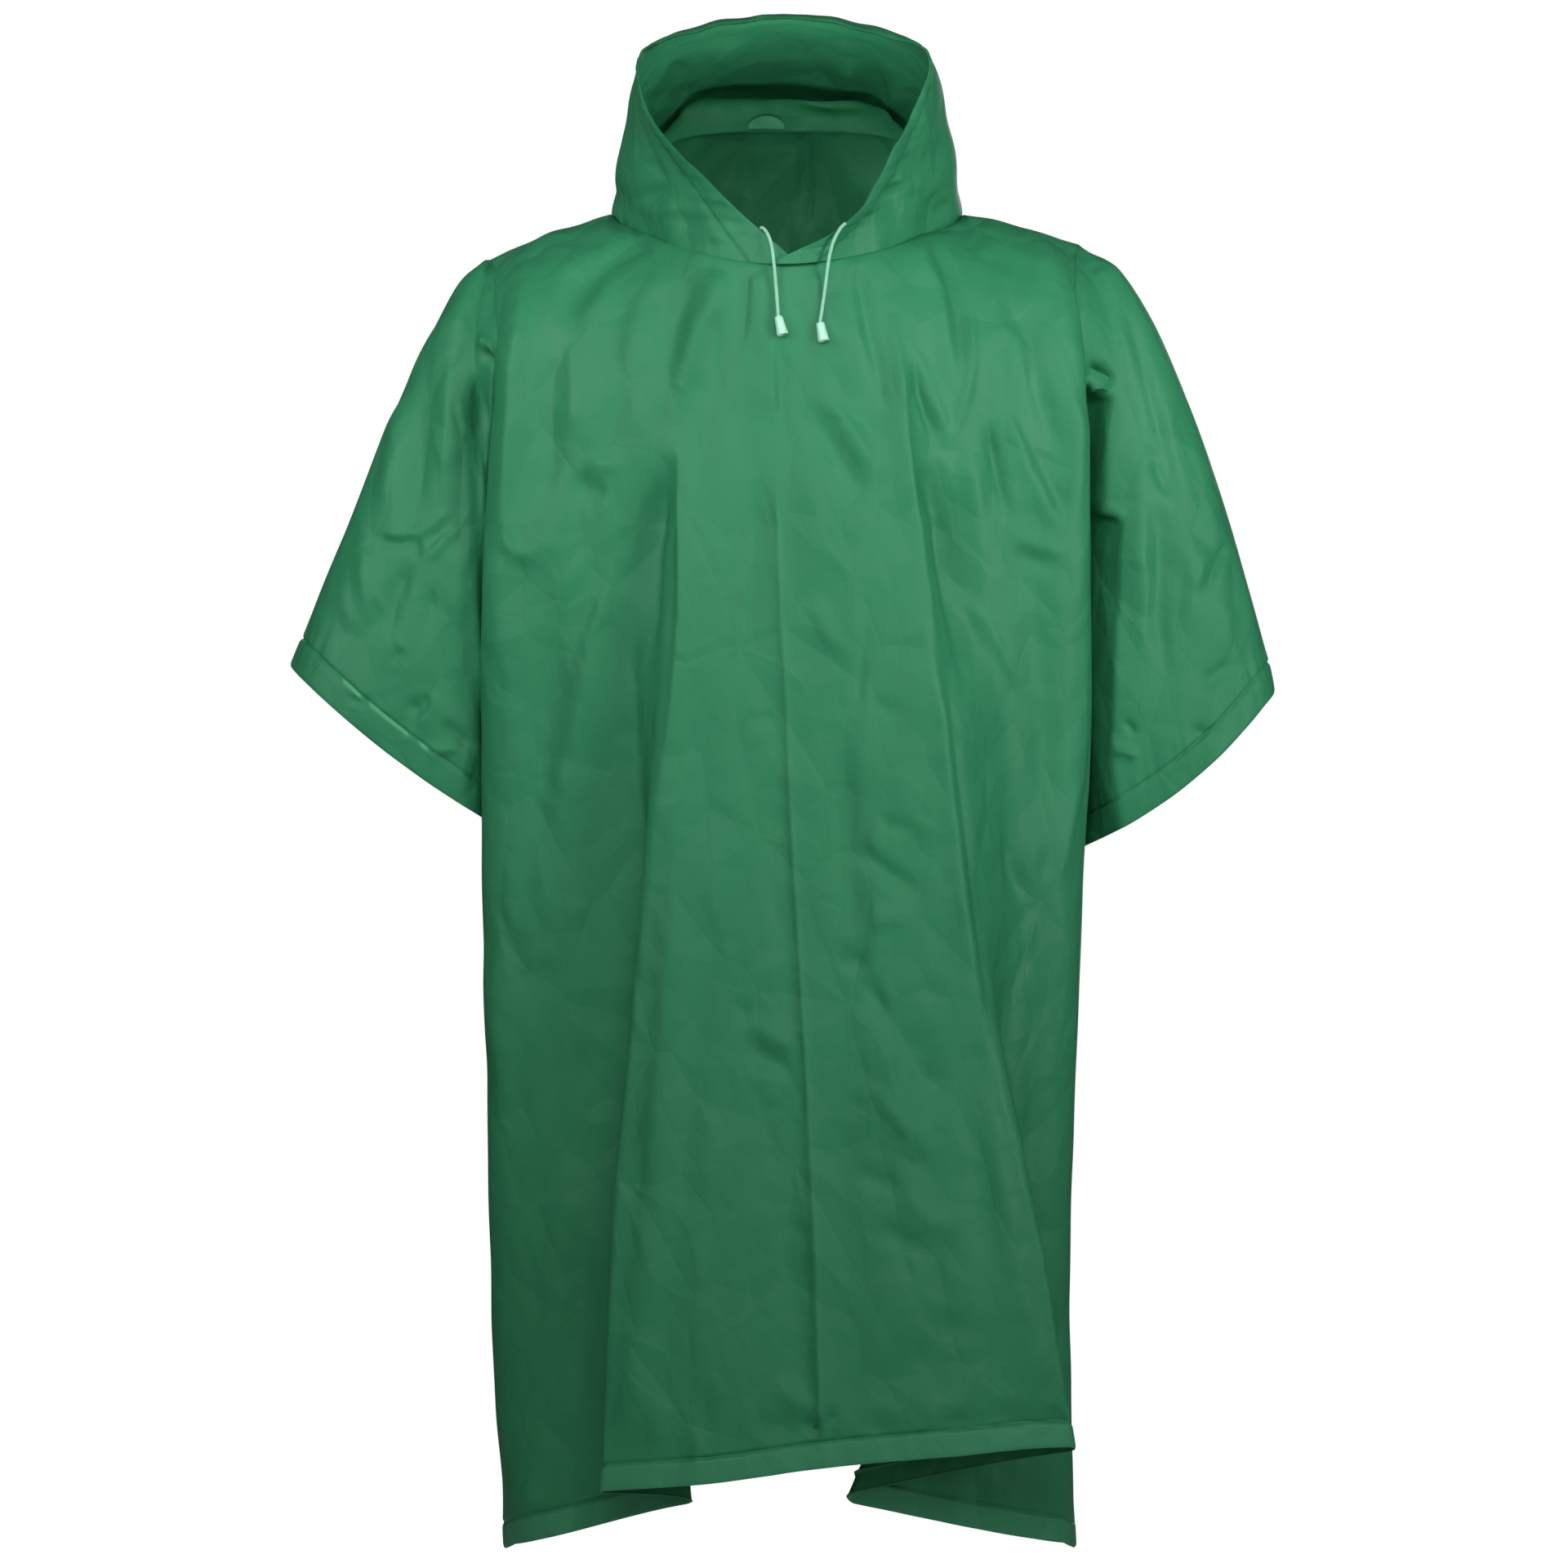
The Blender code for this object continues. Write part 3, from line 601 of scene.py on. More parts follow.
def new_material(name: str, roughness: float, ior: float
                 ) -> tuple[Material, Nodes, bpy.types.Node]:
    """Plain Principled material.

    Args:
        name: its name.
        roughness: roughness of the shader.
        ior: index of refraction, which sets its gloss.

    Returns:
        The material, its node helper and its shader.
    """
    made = bpy.data.materials.new(name)
    made.use_nodes = True
    shader = made.node_tree.nodes["Principled BSDF"]
    shader.inputs["Roughness"].default_value = roughness
    shader.inputs["IOR"].default_value = ior
    return made, Nodes(made.node_tree), shader


@dataclass(frozen=True)
class FilmFinish:
    """Soft semi-matte plastic film, a little paler along sharp folds where it is worn; the same
    pale colour paints highlights on the front hem band and the right cuff's weld line.
    """

    name: str
    base: Triple = (0.027, 0.217, 0.098)
    deep: Triple = (0.023, 0.194, 0.085)
    # pale colour: real wear along sharp folds, and painted highlight on the hem band and the weld
    # glints
    pale_and_highlight: Triple = (0.085, 0.350, 0.190)
    roughness: Pair = (0.50, 0.62)
    ior: float = 1.33
    clouds: Triple = (7.0, 7.0, 3.0)            # of colour, for each metre
    sheen_clouds: Triple = (18.0, 18.0, 7.0)
    # scale of each bump, and its size, from coarse to fine
    soft: tuple[Triple, Pair] = ((20.0, 20.0, 10.0), (0.0120, 0.45))
    crinkle: tuple[Triple, Pair] = ((17.0, 17.0, 11.0), (0.0150, 0.50))
    small: tuple[Triple, Pair] = ((44.0, 44.0, 30.0), (0.0032, 0.50))
    grain: tuple[Triple, Pair] = ((900.0, 900.0, 900.0), (0.00006, 0.35))

    def material(self) -> Material:
        """Build the finish.

        Returns:
            The material.
        """
        made, nodes, shader = new_material(self.name, self.roughness[0], self.ior)
        tone = nodes.ranged(nodes.noise(self.clouds, 4.0, 0.6), (0.30, 0.70), (0.0, 1.0))
        colour = nodes.mixed(tone, self.base, self.deep)
        # share of the pale colour: crease wear, and painted highlights
        paleness_and_highlight = nodes.add("ShaderNodeAttribute", attribute_name="paleness_and_highlight").outputs["Fac"]
        nodes.link(nodes.mixed(paleness_and_highlight, colour, self.pale_and_highlight), shader.inputs["Base Color"])
        sheen = nodes.noise(self.sheen_clouds, 3.0, 0.6)
        nodes.link(nodes.ranged(sheen, (0.3, 0.7), self.roughness), shader.inputs["Roughness"])
        normal = nodes.bump(nodes.noise(self.soft[0], 1.5), self.soft[1])
        for scale, size in (self.crinkle, self.small):
            normal = nodes.bump(nodes.facets(scale), size, normal)
        normal = nodes.bump(nodes.noise(self.grain[0], 1.0), self.grain[1], normal)
        nodes.link(normal, shader.inputs["Normal"])
        return made


@dataclass(frozen=True)
class CordFinish:
    """Pale braided cord."""

    name: str
    base: Triple = (0.42, 0.83, 0.63)
    shade: Triple = (0.25, 0.62, 0.42)
    braid_scale: float = 520.0
    braid_bump: Pair = (0.0004, 0.8)

    def material(self) -> Material:
        """Build the finish.

        Returns:
            The material.
        """
        made, nodes, shader = new_material(self.name, 0.62, 1.45)
        braid = nodes.texture("ShaderNodeTexWave", (1.0, 1.0, 1.0), wave_type="BANDS",
                              bands_direction="DIAGONAL")
        braid.inputs["Scale"].default_value = self.braid_scale
        braid.inputs["Distortion"].default_value = 1.2
        nodes.link(nodes.mixed(braid.outputs["Fac"], self.shade, self.base),
                   shader.inputs["Base Color"])
        nodes.link(nodes.bump(braid.outputs["Fac"], self.braid_bump), shader.inputs["Normal"])
        return made


@dataclass(frozen=True)
class MouldedFinish:
    """Pale moulded plastic of the cord ends, a little translucent."""

    name: str
    base: Triple = (0.46, 0.80, 0.64)
    deep: Triple = (0.36, 0.72, 0.55)
    glow: float = 0.15
    glow_reach: Triple = (0.002, 0.003, 0.002)

    def material(self) -> Material:
        """Build the finish.

        Returns:
            The material.
        """
        made, nodes, shader = new_material(self.name, 0.30, 1.49)
        shader.inputs["Subsurface Weight"].default_value = self.glow
        shader.inputs["Subsurface Radius"].default_value = self.glow_reach
        cloud = nodes.noise((160.0, 160.0, 90.0), 2.0)
        nodes.link(nodes.mixed(cloud, self.base, self.deep), shader.inputs["Base Color"])
        nodes.link(nodes.bump(cloud, (0.0002, 0.3)), shader.inputs["Normal"])
        return made


class Paints:
    """The materials of the poncho, built once and shared by its pieces."""

    def __init__(self) -> None:
        """Build them."""
        self.cord = CordFinish("braided cord").material()
        self.moulded = MouldedFinish("moulded cord end").material()
        self.film = FilmFinish("green film").material()
        self.hem = FilmFinish("green film in two layers", (0.023, 0.194, 0.078),
                              (0.018, 0.170, 0.066)).material()
        self.tab = FilmFinish("green tab", (0.060, 0.300, 0.155), (0.052, 0.270, 0.135)).material()


def place_piece(piece: Piece, node: str) -> Piece:
    """Let a piece ride on the body and stand for its solid.

    Args:
        piece: the piece.
        node: the solid's node.

    Returns:
        The piece.
    """
    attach(piece, BODY)
    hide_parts(node)
    return piece


@dataclass(frozen=True)
class Cut:
    """Flat size of a sheet before it is joined and hung, in metres and square metres."""

    width: float
    length: float
    area: float


def hang(film: Film, inner: Film, nodes: Words, names: Words, paints: Paints
         ) -> list[Piece]:
    """A sheet of film that hangs, with its inner layer.

    Args:
        film: the sheet.
        inner: its turned hem, or the inner wall of its cord channel.
        nodes: nodes of the two solids.
        names: names of the two pieces.
        paints: the poncho's materials.

    Returns:
        The two pieces.
    """
    sheet = place_piece(film.make(names[0], paints.film), nodes[0])
    layer = place_piece(inner.make(names[1], paints.hem), nodes[1])
    return [sheet, layer]


# --------------------------------------------------------------- neck and shoulders
# angle from the centre front, x on the right, x on the left, y, z
NECKLINE = np.array([
    (0, 0.000, 0.000, -0.150, -0.0566), (30, -0.070, 0.070, -0.125, -0.0440),
    (58, -0.107, 0.110, -0.078, -0.0255), (90, -0.143, 0.148, 0.000, 0.0000),
    (122, -0.125, 0.130, 0.060, 0.0450), (150, -0.082, 0.087, 0.092, 0.0770),
    (180, 0.000, 0.000, 0.105, 0.0840)])
# share of the way from the armhole to the neck, z on the right, z on the left
SHOULDER_LINE = np.array([(0.0, -0.0370, -0.0240), (0.35, -0.0220, -0.0150),
                          (0.70, -0.0100, -0.0052), (1.0, 0.0000, 0.0000)])
SHOULDER_X = 0.245


def neck_points(angles: Array) -> Array:
    """Points of the neckline.

    Args:
        angles: degrees from the centre front; below 0 on the wearer's right.

    Returns:
        One row for each angle.
    """
    around = (angles + 180.0) % 360.0 - 180.0
    right = NECKLINE[::-1][:, [1, 3, 4]]
    left = NECKLINE[1:][:, [2, 3, 4]]
    knots = np.concatenate([right, left])
    keys = np.concatenate([-NECKLINE[::-1, 0], NECKLINE[1:, 0]])
    wrapped = np.concatenate([knots[-2:-1], knots, knots[1:2]])
    return smooth(wrapped, 1.0 + place_in(keys, around))


def shoulder_points(side: Side, along: Array) -> Array:
    """Points of a shoulder seam.

    Args:
        side: which shoulder.
        along: 0 at the armhole to 1 at the neck point.

    Returns:
        One row for each place.
    """
    neck = neck_points(np.array([90.0 * side.value]))[0]
    heights = SHOULDER_LINE[:, [2 if side is Side.LEFT else 1]]
    z = smooth(heights, place_in(SHOULDER_LINE[:, 0], along))[:, 0]
    x = side.value * SHOULDER_X + (neck[0] - side.value * SHOULDER_X) * along
    return np.stack([x, np.zeros_like(x), z], axis=1)


@dataclass(frozen=True)
class ArmholeBridge:
    """Film drawn flat over the valley between the body and the top of the sleeve."""

    # |x| and z of the sleeve's top line; on the right it lies lower past an |x|
    top: tuple[Pair, ...] = ((0.200, -0.026), (0.245, -0.030), (0.274, -0.052), (0.309, -0.112),
                             (0.349, -0.208))
    right_drop: float = 0.012
    drop_x: float = 0.222
    drop_run: float = 0.020
    depth: float = 0.104            # |y| of the film, reached at a fall below the line
    depth_fall: float = 0.123
    narrowing: float = 0.34         # share of the depth that it loses outward
    narrow_x: float = 0.225
    narrow_run: float = 0.060
    low_z: float = -0.165           # the bridge sets in above this z, and between two |x|
    low_run: float = 0.060
    inner_x: float = 0.195
    inner_run: float = 0.030
    outer_x: float = 0.325
    outer_run: float = 0.060

    def draw(self, points: Array, outside: Array) -> Array:
        """Draw the film out.

        Args:
            points: rows by columns by 3.
            outside: -1 in front and 1 at the back, for each point.

        Returns:
            The moved points; below the armpit they stay as they are.
        """
        x, y, z = np.abs(points[..., 0]), points[..., 1], points[..., 2]
        drop = self.right_drop * ease((x - self.drop_x) / self.drop_run) * (points[..., 0] < 0.0)
        fall = np.clip((np.interp(x, *zip(*self.top)) - drop - z) / self.depth_fall, 0.0, 1.0)
        depth = self.depth * np.sqrt(1.0 - (1.0 - fall) ** 2)
        depth *= 1.0 - self.narrowing * np.clip((x - self.narrow_x) / self.narrow_run, 0.0, 1.2)
        share = (ease((z - self.low_z) / self.low_run) * ease((x - self.inner_x) / self.inner_run)
                 * ease((self.outer_x - x) / self.outer_run))
        moved = points.copy()
        moved[..., 1] += share * (outside * np.maximum(np.abs(y), depth) - y)
        return moved


@dataclass(frozen=True)
class Recess:
    """Film that falls back between the body and the free fold of the left sleeve."""

    # v, u of the free fold's edge, and how steeply the film falls back behind it
    edge: tuple[Triple, ...] = (
        (-0.540, 0.291, 1.05), (-0.506, 0.283, 1.05), (-0.460, 0.275, 1.10),
        (-0.440, 0.2735, 1.10), (-0.400, 0.275, 1.05), (-0.320, 0.279, 1.00),
        (-0.262, 0.282, 0.95), (-0.249, 0.282, 0.92), (-0.241, 0.268, 0.66),
        (-0.200, 0.269, 0.68), (-0.175, 0.271, 0.75), (-0.152, 0.276, 0.75),
        (-0.140, 0.276, 0.0))
    floor: float = -0.014           # y of the bottom
    rounding: float = 0.002
    start: float = 0.004            # distance from the armhole where it sets in
    run: float = 0.008

    def sink(self, film: Film, in_front: Array) -> None:
        """Move the sleeve's film back.

        Args:
            film: the sleeve.
            in_front: for each point, whether it lies on the front half.
        """
        u, v = film.on_view()
        levels, edges, slopes = zip(*self.edge)
        gap = np.interp(v, levels, edges) - u
        drop = 0.5 * (gap + np.sqrt(gap ** 2 + self.rounding ** 2)) * np.interp(v, levels, slopes)
        room = np.maximum(self.floor - film.points[..., 1], 0.0)
        share = ease((film.from_top() - self.start) / self.run) * in_front
        film.points[..., 1] += share * np.minimum(drop, room)


# -------------------------------------------------------------------- body panels
# rows of the panels' tables: 0 at the yoke, 1 at the hem
PANEL_FALLS = (0.00, 0.15, 0.30, 0.55, 0.78, 1.00)


@dataclass
class BodyPanel:
    """Front or back panel, from the right side seam to the left one."""

    face: Face
    guides: Array               # rows by guides by (x, y)
    hem: tuple[float, ...]      # z of the hem at each guide
    bends: dict[int, tuple[float, ...]]     # bend radius of some guides, for each row
    folds: Zoned
    cut: Cut
    neck_angles: tuple[float, ...]
    steps: tuple[int, ...]      # columns between the guides
    gather: float               # how much the columns gather at the guides
    streaks: float              # height of the fine vertical waves, metres
    hem_pale_and_lit: float              # how much paler the two layers of the hem are
    relief: float               # how much paler the hem band is: its two layers, and a painted highlight of the raised band
    seed: int
    streak_waves: Waves = Waves(14, 0.045, 0.55)
    swell_waves: Waves = Waves(10, 0.11, 0.16)
    swell_share: float = 0.6
    crease_wear: float = 0.12       # how much paler a sharp fold is
    calm: Pair = (0.020, 0.006)     # folds fade this near to a seam, in two parts
    calm_shares: Pair = (0.8, 0.2)
    hem_calm: float = 0.008         # the hem fades this near to a side seam
    hem_soft: float = 0.002         # softness of the paler hem's upper edge
    bridge: ArmholeBridge = ArmholeBridge()
    yoke_z: float = -0.160
    fall: float = 0.90              # typical fall from the yoke to the hem
    row_gather: float = 0.36
    shoulder_guides: int = 2
    hem_width: float = 0.020
    cap_rows: int = 24
    body_rows: int = 164
    hem_rows: int = 22
    columns: Array = field(init=False, repr=False)
    levels: Array = field(init=False, repr=False)
    sheet: Film = field(init=False, repr=False)

    def _sections(self, falls: Array) -> tuple[Array, Array]:
        """Outlines of the level sections, with round bends at the guides.

        Args:
            falls: how far down each section lies, 0 to 1.

        Returns:
            Points of the outlines, and their places among the guides.
        """
        tips = smooth(self.guides, place_in(np.array(PANEL_FALLS), falls))
        radii = np.full(tips.shape[:2], FREE)
        for guide, sizes in self.bends.items():
            radii[:, guide] = np.exp(np.interp(falls, PANEL_FALLS, np.log(sizes)))
        corners = tips.copy()
        last = tips.shape[1] - 1
        for _ in range(BEND_ROUNDS):
            for i in range(1, last):
                bisector, half, run_in = self._turn(corners, i, radii[:, i])
                bend = run_in * np.tan(half)
                target = tips[:, i] - bisector * (bend / np.sin(half) - bend)[:, None]
                corners[:, i] += (target - corners[:, i]) * BEND_STEP
        outline, places = [corners[:, 0]], [np.zeros(len(falls))]
        for i in range(1, last):
            bisector, half, run_in = self._turn(corners, i, radii[:, i])
            before, here = corners[:, i - 1], corners[:, i]
            bend = run_in * np.tan(half)
            centre = here + bisector * (bend / np.sin(half))[:, None]
            entry = unit(before - here)
            arm = here + entry * run_in[:, None] - centre
            turn = np.where(entry[:, 0] * bisector[:, 1] - entry[:, 1] * bisector[:, 0] < 0, 1, -1)
            first = i - run_in / np.linalg.norm(before - here, axis=1)
            final = i + run_in / np.linalg.norm(corners[:, i + 1] - here, axis=1)
            for share in np.linspace(0.0, 1.0, BEND_POINTS):
                angle = turn * (np.pi - 2.0 * half) * share
                cosine, sine = np.cos(angle), np.sin(angle)
                outline.append(centre + np.stack([arm[:, 0] * cosine - arm[:, 1] * sine,
                                                  arm[:, 0] * sine + arm[:, 1] * cosine], axis=1))
                places.append(first + (i - first) * share * 2.0 if share <= 0.5
                              else i + (final - i) * (share * 2.0 - 1.0))
        outline.append(corners[:, last])
        places.append(np.full(len(falls), float(last)))
        return np.stack(outline, axis=1), np.stack(places, axis=1)

    @staticmethod
    def _turn(corners: Array, i: int, radius: Array) -> tuple[Array, Array, Array]:
        """The bend at a corner of every row.

        Args:
            corners: rows by corners by 2.
            i: number of the corner.
            radius: wanted radius in each row.

        Returns:
            Its bisector, half its angle, and the run from its start to the corner.
        """
        to_before = corners[:, i - 1] - corners[:, i]
        to_after = corners[:, i + 1] - corners[:, i]
        room = BEND_ROOM * np.minimum(np.linalg.norm(to_before, axis=1),
                                      np.linalg.norm(to_after, axis=1))
        a, b = unit(to_before), unit(to_after)
        half = 0.5 * np.arccos(np.clip((a * b).sum(axis=1), -0.9999, 0.9999))
        return unit(a + b), half, np.minimum(radius / np.tan(half), room)

    def _top(self, places: Array) -> Array:
        """Top edge: shoulder, neckline, shoulder.

        Args:
            places: places of the columns among the guides.

        Returns:
            One point for each column.
        """
        first = self.shoulder_guides
        last = first + len(self.neck_angles) - 1
        total = self.guides.shape[1] - 1
        angles = np.interp(places - first, np.arange(len(self.neck_angles)), self.neck_angles)
        points = neck_points(angles)
        right, left = places <= first, places >= last
        points[right] = shoulder_points(Side.RIGHT, places[right] / first)
        points[left] = shoulder_points(Side.LEFT, (total - places[left]) / first)
        points[:, 1] += self.face.value * SEAM_GAP / 2
        return points

    def _smooth_grid(self) -> Array:
        """Grid without its small folds: over the shoulder, then down to the hem.

        Returns:
            Rows by columns by 3.
        """
        self.columns = graded(self.steps, self.gather)
        band = BAND_SHARE * self.hem_width / self.fall
        even = np.linspace(0.0, 1.0, self.body_rows, endpoint=False)
        falls = np.concatenate([(1.0 - band) * (even - self.row_gather * even * (1.0 - even)),
                                np.linspace(1.0 - band, 1.0, self.hem_rows)])
        self.levels = np.concatenate([np.arange(self.cap_rows) / self.cap_rows * CAP_LEVELS,
                                      CAP_LEVELS + falls / FALL_PER_LEVEL])
        outline, places = self._sections(falls)
        flat = np.stack([[np.interp(self.columns, place, line[:, axis]) for axis in (0, 1)]
                         for place, line in zip(places, outline)]).transpose(0, 2, 1)
        low = smooth(np.array(self.hem)[:, None], self.columns)[:, 0]
        z = self.yoke_z + falls[:, None] * (low - self.yoke_z)[None]
        body = np.concatenate([flat, z[..., None]], axis=2)
        top = self._top(self.columns)
        turns = np.radians(np.linspace(0.0, 90.0, self.cap_rows, endpoint=False))[:, None, None]
        share = np.concatenate([np.sin(turns), np.sin(turns), 1.0 - np.cos(turns)], axis=2)
        grid = np.concatenate([top[None] + (body[0] - top)[None] * share, body])
        under = self.cap_rows + np.searchsorted(falls, UNDERARM_FALL - 1e-9)
        grid[under:, [0, -1], 1] = self.face.value * SEAM_GAP / 2
        return self.bridge.draw(grid, np.full(grid.shape[:2], float(self.face.value)))

    def _in_zone(self, zone: Zone) -> Array:
        """Share of each point that lies in a zone.

        Args:
            zone: the zone.

        Returns:
            Rows by columns, 1 all over the chest.
        """
        place = self.columns[None] + 0.0 * self.levels[:, None]
        low = ease((self.levels[:, None] - CHEST_LEVEL) / CHEST_RUN) + 0.0 * place
        start, stop, soft = zone.value
        inner = ease((place - start) / soft) * ease((stop - place) / soft)
        return 1.0 - low * (1.0 - inner)

    def build(self, paints: Paints) -> list[Piece]:
        """The panel with its folds, and its turned hem.

        Args:
            paints: the poncho's materials.

        Returns:
            The two pieces.
        """
        film = Film(self._smooth_grid(), False, float(self.face.value))
        u, v = film.on_view()
        height = np.zeros_like(u)
        # share of the pale colour: crease wear here; the painted hem highlight is added below
        paleness_and_highlight = np.zeros_like(u)
        for zone, fold in self.folds:
            part = self.relief * fold.lift(u, v) * self._in_zone(zone)
            height += part
            if fold.crest <= SHARP_CREST:
                paleness_and_highlight += np.clip(part / (fold.height * MM), 0.0, 1.0) ** 3 * self.crease_wear
        height += self.streaks * self.streak_waves.at(self.seed, u, v)
        height += self.swell_share * self.streaks * self.swell_waves.at(self.seed + 1, u, v)
        edge = film.from_edge()
        seam = np.minimum(film.from_top(), film.from_sides())
        height *= sum(part * ease(seam / run) for part, run in zip(self.calm_shares, self.calm))
        band = HemRelief(self.hem_width, self.seed)
        height += (band.height(edge, film.points[..., 0] + film.points[..., 1])
                   * ease(film.from_sides() / self.hem_calm))
        film.raise_by(height)
        # the hem band is painted paler, partly for its two film layers and partly as a painted
        # highlight where the raised band catches light
        paler = self.hem_pale_and_lit * ease((self.hem_width - edge) / self.hem_soft)
        film.paleness_and_highlight = np.clip(paleness_and_highlight + paler, 0.0, 1.0)
        self.sheet = film
        word = self.face.name.lower()
        return hang(film, film.turned_hem(self.hem_rows), (word + "_panel", word + "_hem"),
                    (word + "_film", word + "_turned_hem"), paints)

    def side_edge(self, side: Side, levels: Array) -> Array:
        """Points of the finished panel's side edge at some levels."""
        line = self.sheet.points[:, -1 if side is Side.LEFT else 0]
        return np.stack([np.interp(levels, self.levels, line[:, axis]) for axis in range(3)], 1)


# guides: seam_r flank_r inner_r fold_r chest_r middle chest_l fold_l inner_l flank_l seam_l
FRONT_GUIDES = np.array([
    [(-0.232, -0.062), (-0.232, -0.104), (-0.150, -0.130), (-0.087, -0.147), (-0.045, -0.154),
     (-0.008, -0.157), (0.050, -0.156), (0.101, -0.147), (0.165, -0.128), (0.243, -0.103),
     (0.236, -0.062)],
    [(-0.233, -0.048), (-0.243, -0.098), (-0.140, -0.132), (-0.087, -0.158), (-0.042, -0.164),
     (-0.004, -0.163), (0.052, -0.166), (0.106, -0.157), (0.172, -0.126), (0.2475, -0.098),
     (0.236, -0.048)],
    [(-0.230, -0.0001), (-0.2440, -0.080), (-0.119, -0.126), (-0.099, -0.163), (-0.045, -0.169),
     (0.000, -0.165), (0.062, -0.171), (0.133, -0.162), (0.182, -0.118), (0.2475, -0.080),
     (0.233, -0.0001)],
    [(-0.232, -0.0001), (-0.2395, -0.070), (-0.101, -0.118), (-0.121, -0.166), (-0.050, -0.177),
     (0.012, -0.172), (0.080, -0.179), (0.160, -0.168), (0.180, -0.116), (0.2365, -0.070),
     (0.231, -0.0001)],
    [(-0.2335, -0.0001), (-0.2345, -0.067), (-0.088, -0.124), (-0.138, -0.171), (-0.055, -0.188),
     (0.023, -0.183), (0.105, -0.188), (0.2025, -0.172), (0.128, -0.118), (0.2290, -0.067),
     (0.232, -0.0001)],
    [(-0.233, -0.0001), (-0.2200, -0.064), (-0.0745, -0.135), (-0.1465, -0.176), (-0.060, -0.198),
     (0.030, -0.196), (0.120, -0.196), (0.2325, -0.168), (0.0515, -0.125), (0.2290, -0.064),
     (0.2430, -0.0001)]])
FRONT_HEM = (-1.1074, -1.0960, -1.0516, -1.0380, -1.0284, -1.0164,
             -1.0080, -1.0048, -1.0496, -1.0950, -1.1074)
FRONT_BENDS = {2: (FREE, 0.100, 0.012, 0.007, 0.006, 0.0055),     # inner_r
               3: (FREE, 0.100, 0.014, 0.008, 0.006, 0.0045),     # fold_r
               7: (FREE, 0.200, 0.040, 0.024, 0.008, 0.0055),     # fold_l
               8: (FREE, 0.200, 0.040, 0.024, 0.008, 0.0055)}     # inner_l
# guides: seam_r flank_r ridge_r valley_r middle valley_l ridge_l flank_l seam_l
BACK_GUIDES = np.array([
    [(-0.232, 0.062), (-0.232, 0.100), (-0.158, 0.132), (-0.092, 0.142), (-0.022, 0.146),
     (0.050, 0.146), (0.128, 0.138), (0.243, 0.100), (0.236, 0.062)],
    [(-0.233, 0.048), (-0.243, 0.092), (-0.160, 0.143), (-0.096, 0.141), (-0.024, 0.156),
     (0.048, 0.148), (0.132, 0.149), (0.2475, 0.092), (0.236, 0.048)],
    [(-0.230, 0.0001), (-0.2465, 0.074), (-0.162, 0.150), (-0.098, 0.137), (-0.025, 0.164),
     (0.047, 0.145), (0.134, 0.157), (0.2475, 0.074), (0.233, 0.0001)],
    [(-0.232, 0.0001), (-0.2375, 0.072), (-0.162, 0.162), (-0.098, 0.134), (-0.026, 0.174),
     (0.047, 0.141), (0.137, 0.169), (0.2350, 0.072), (0.231, 0.0001)],
    [(-0.2335, 0.0001), (-0.2315, 0.076), (-0.160, 0.174), (-0.095, 0.130), (-0.026, 0.186),
     (0.050, 0.136), (0.142, 0.180), (0.2280, 0.076), (0.232, 0.0001)],
    [(-0.233, 0.0001), (-0.2240, 0.080), (-0.160, 0.186), (-0.090, 0.126), (-0.025, 0.198),
     (0.055, 0.131), (0.147, 0.191), (0.2270, 0.080), (0.2430, 0.0001)]])
BACK_HEM = (-1.1074, -1.0920, -1.0640, -1.0540, -1.0440, -1.0500, -1.0600, -1.0920, -1.1074)

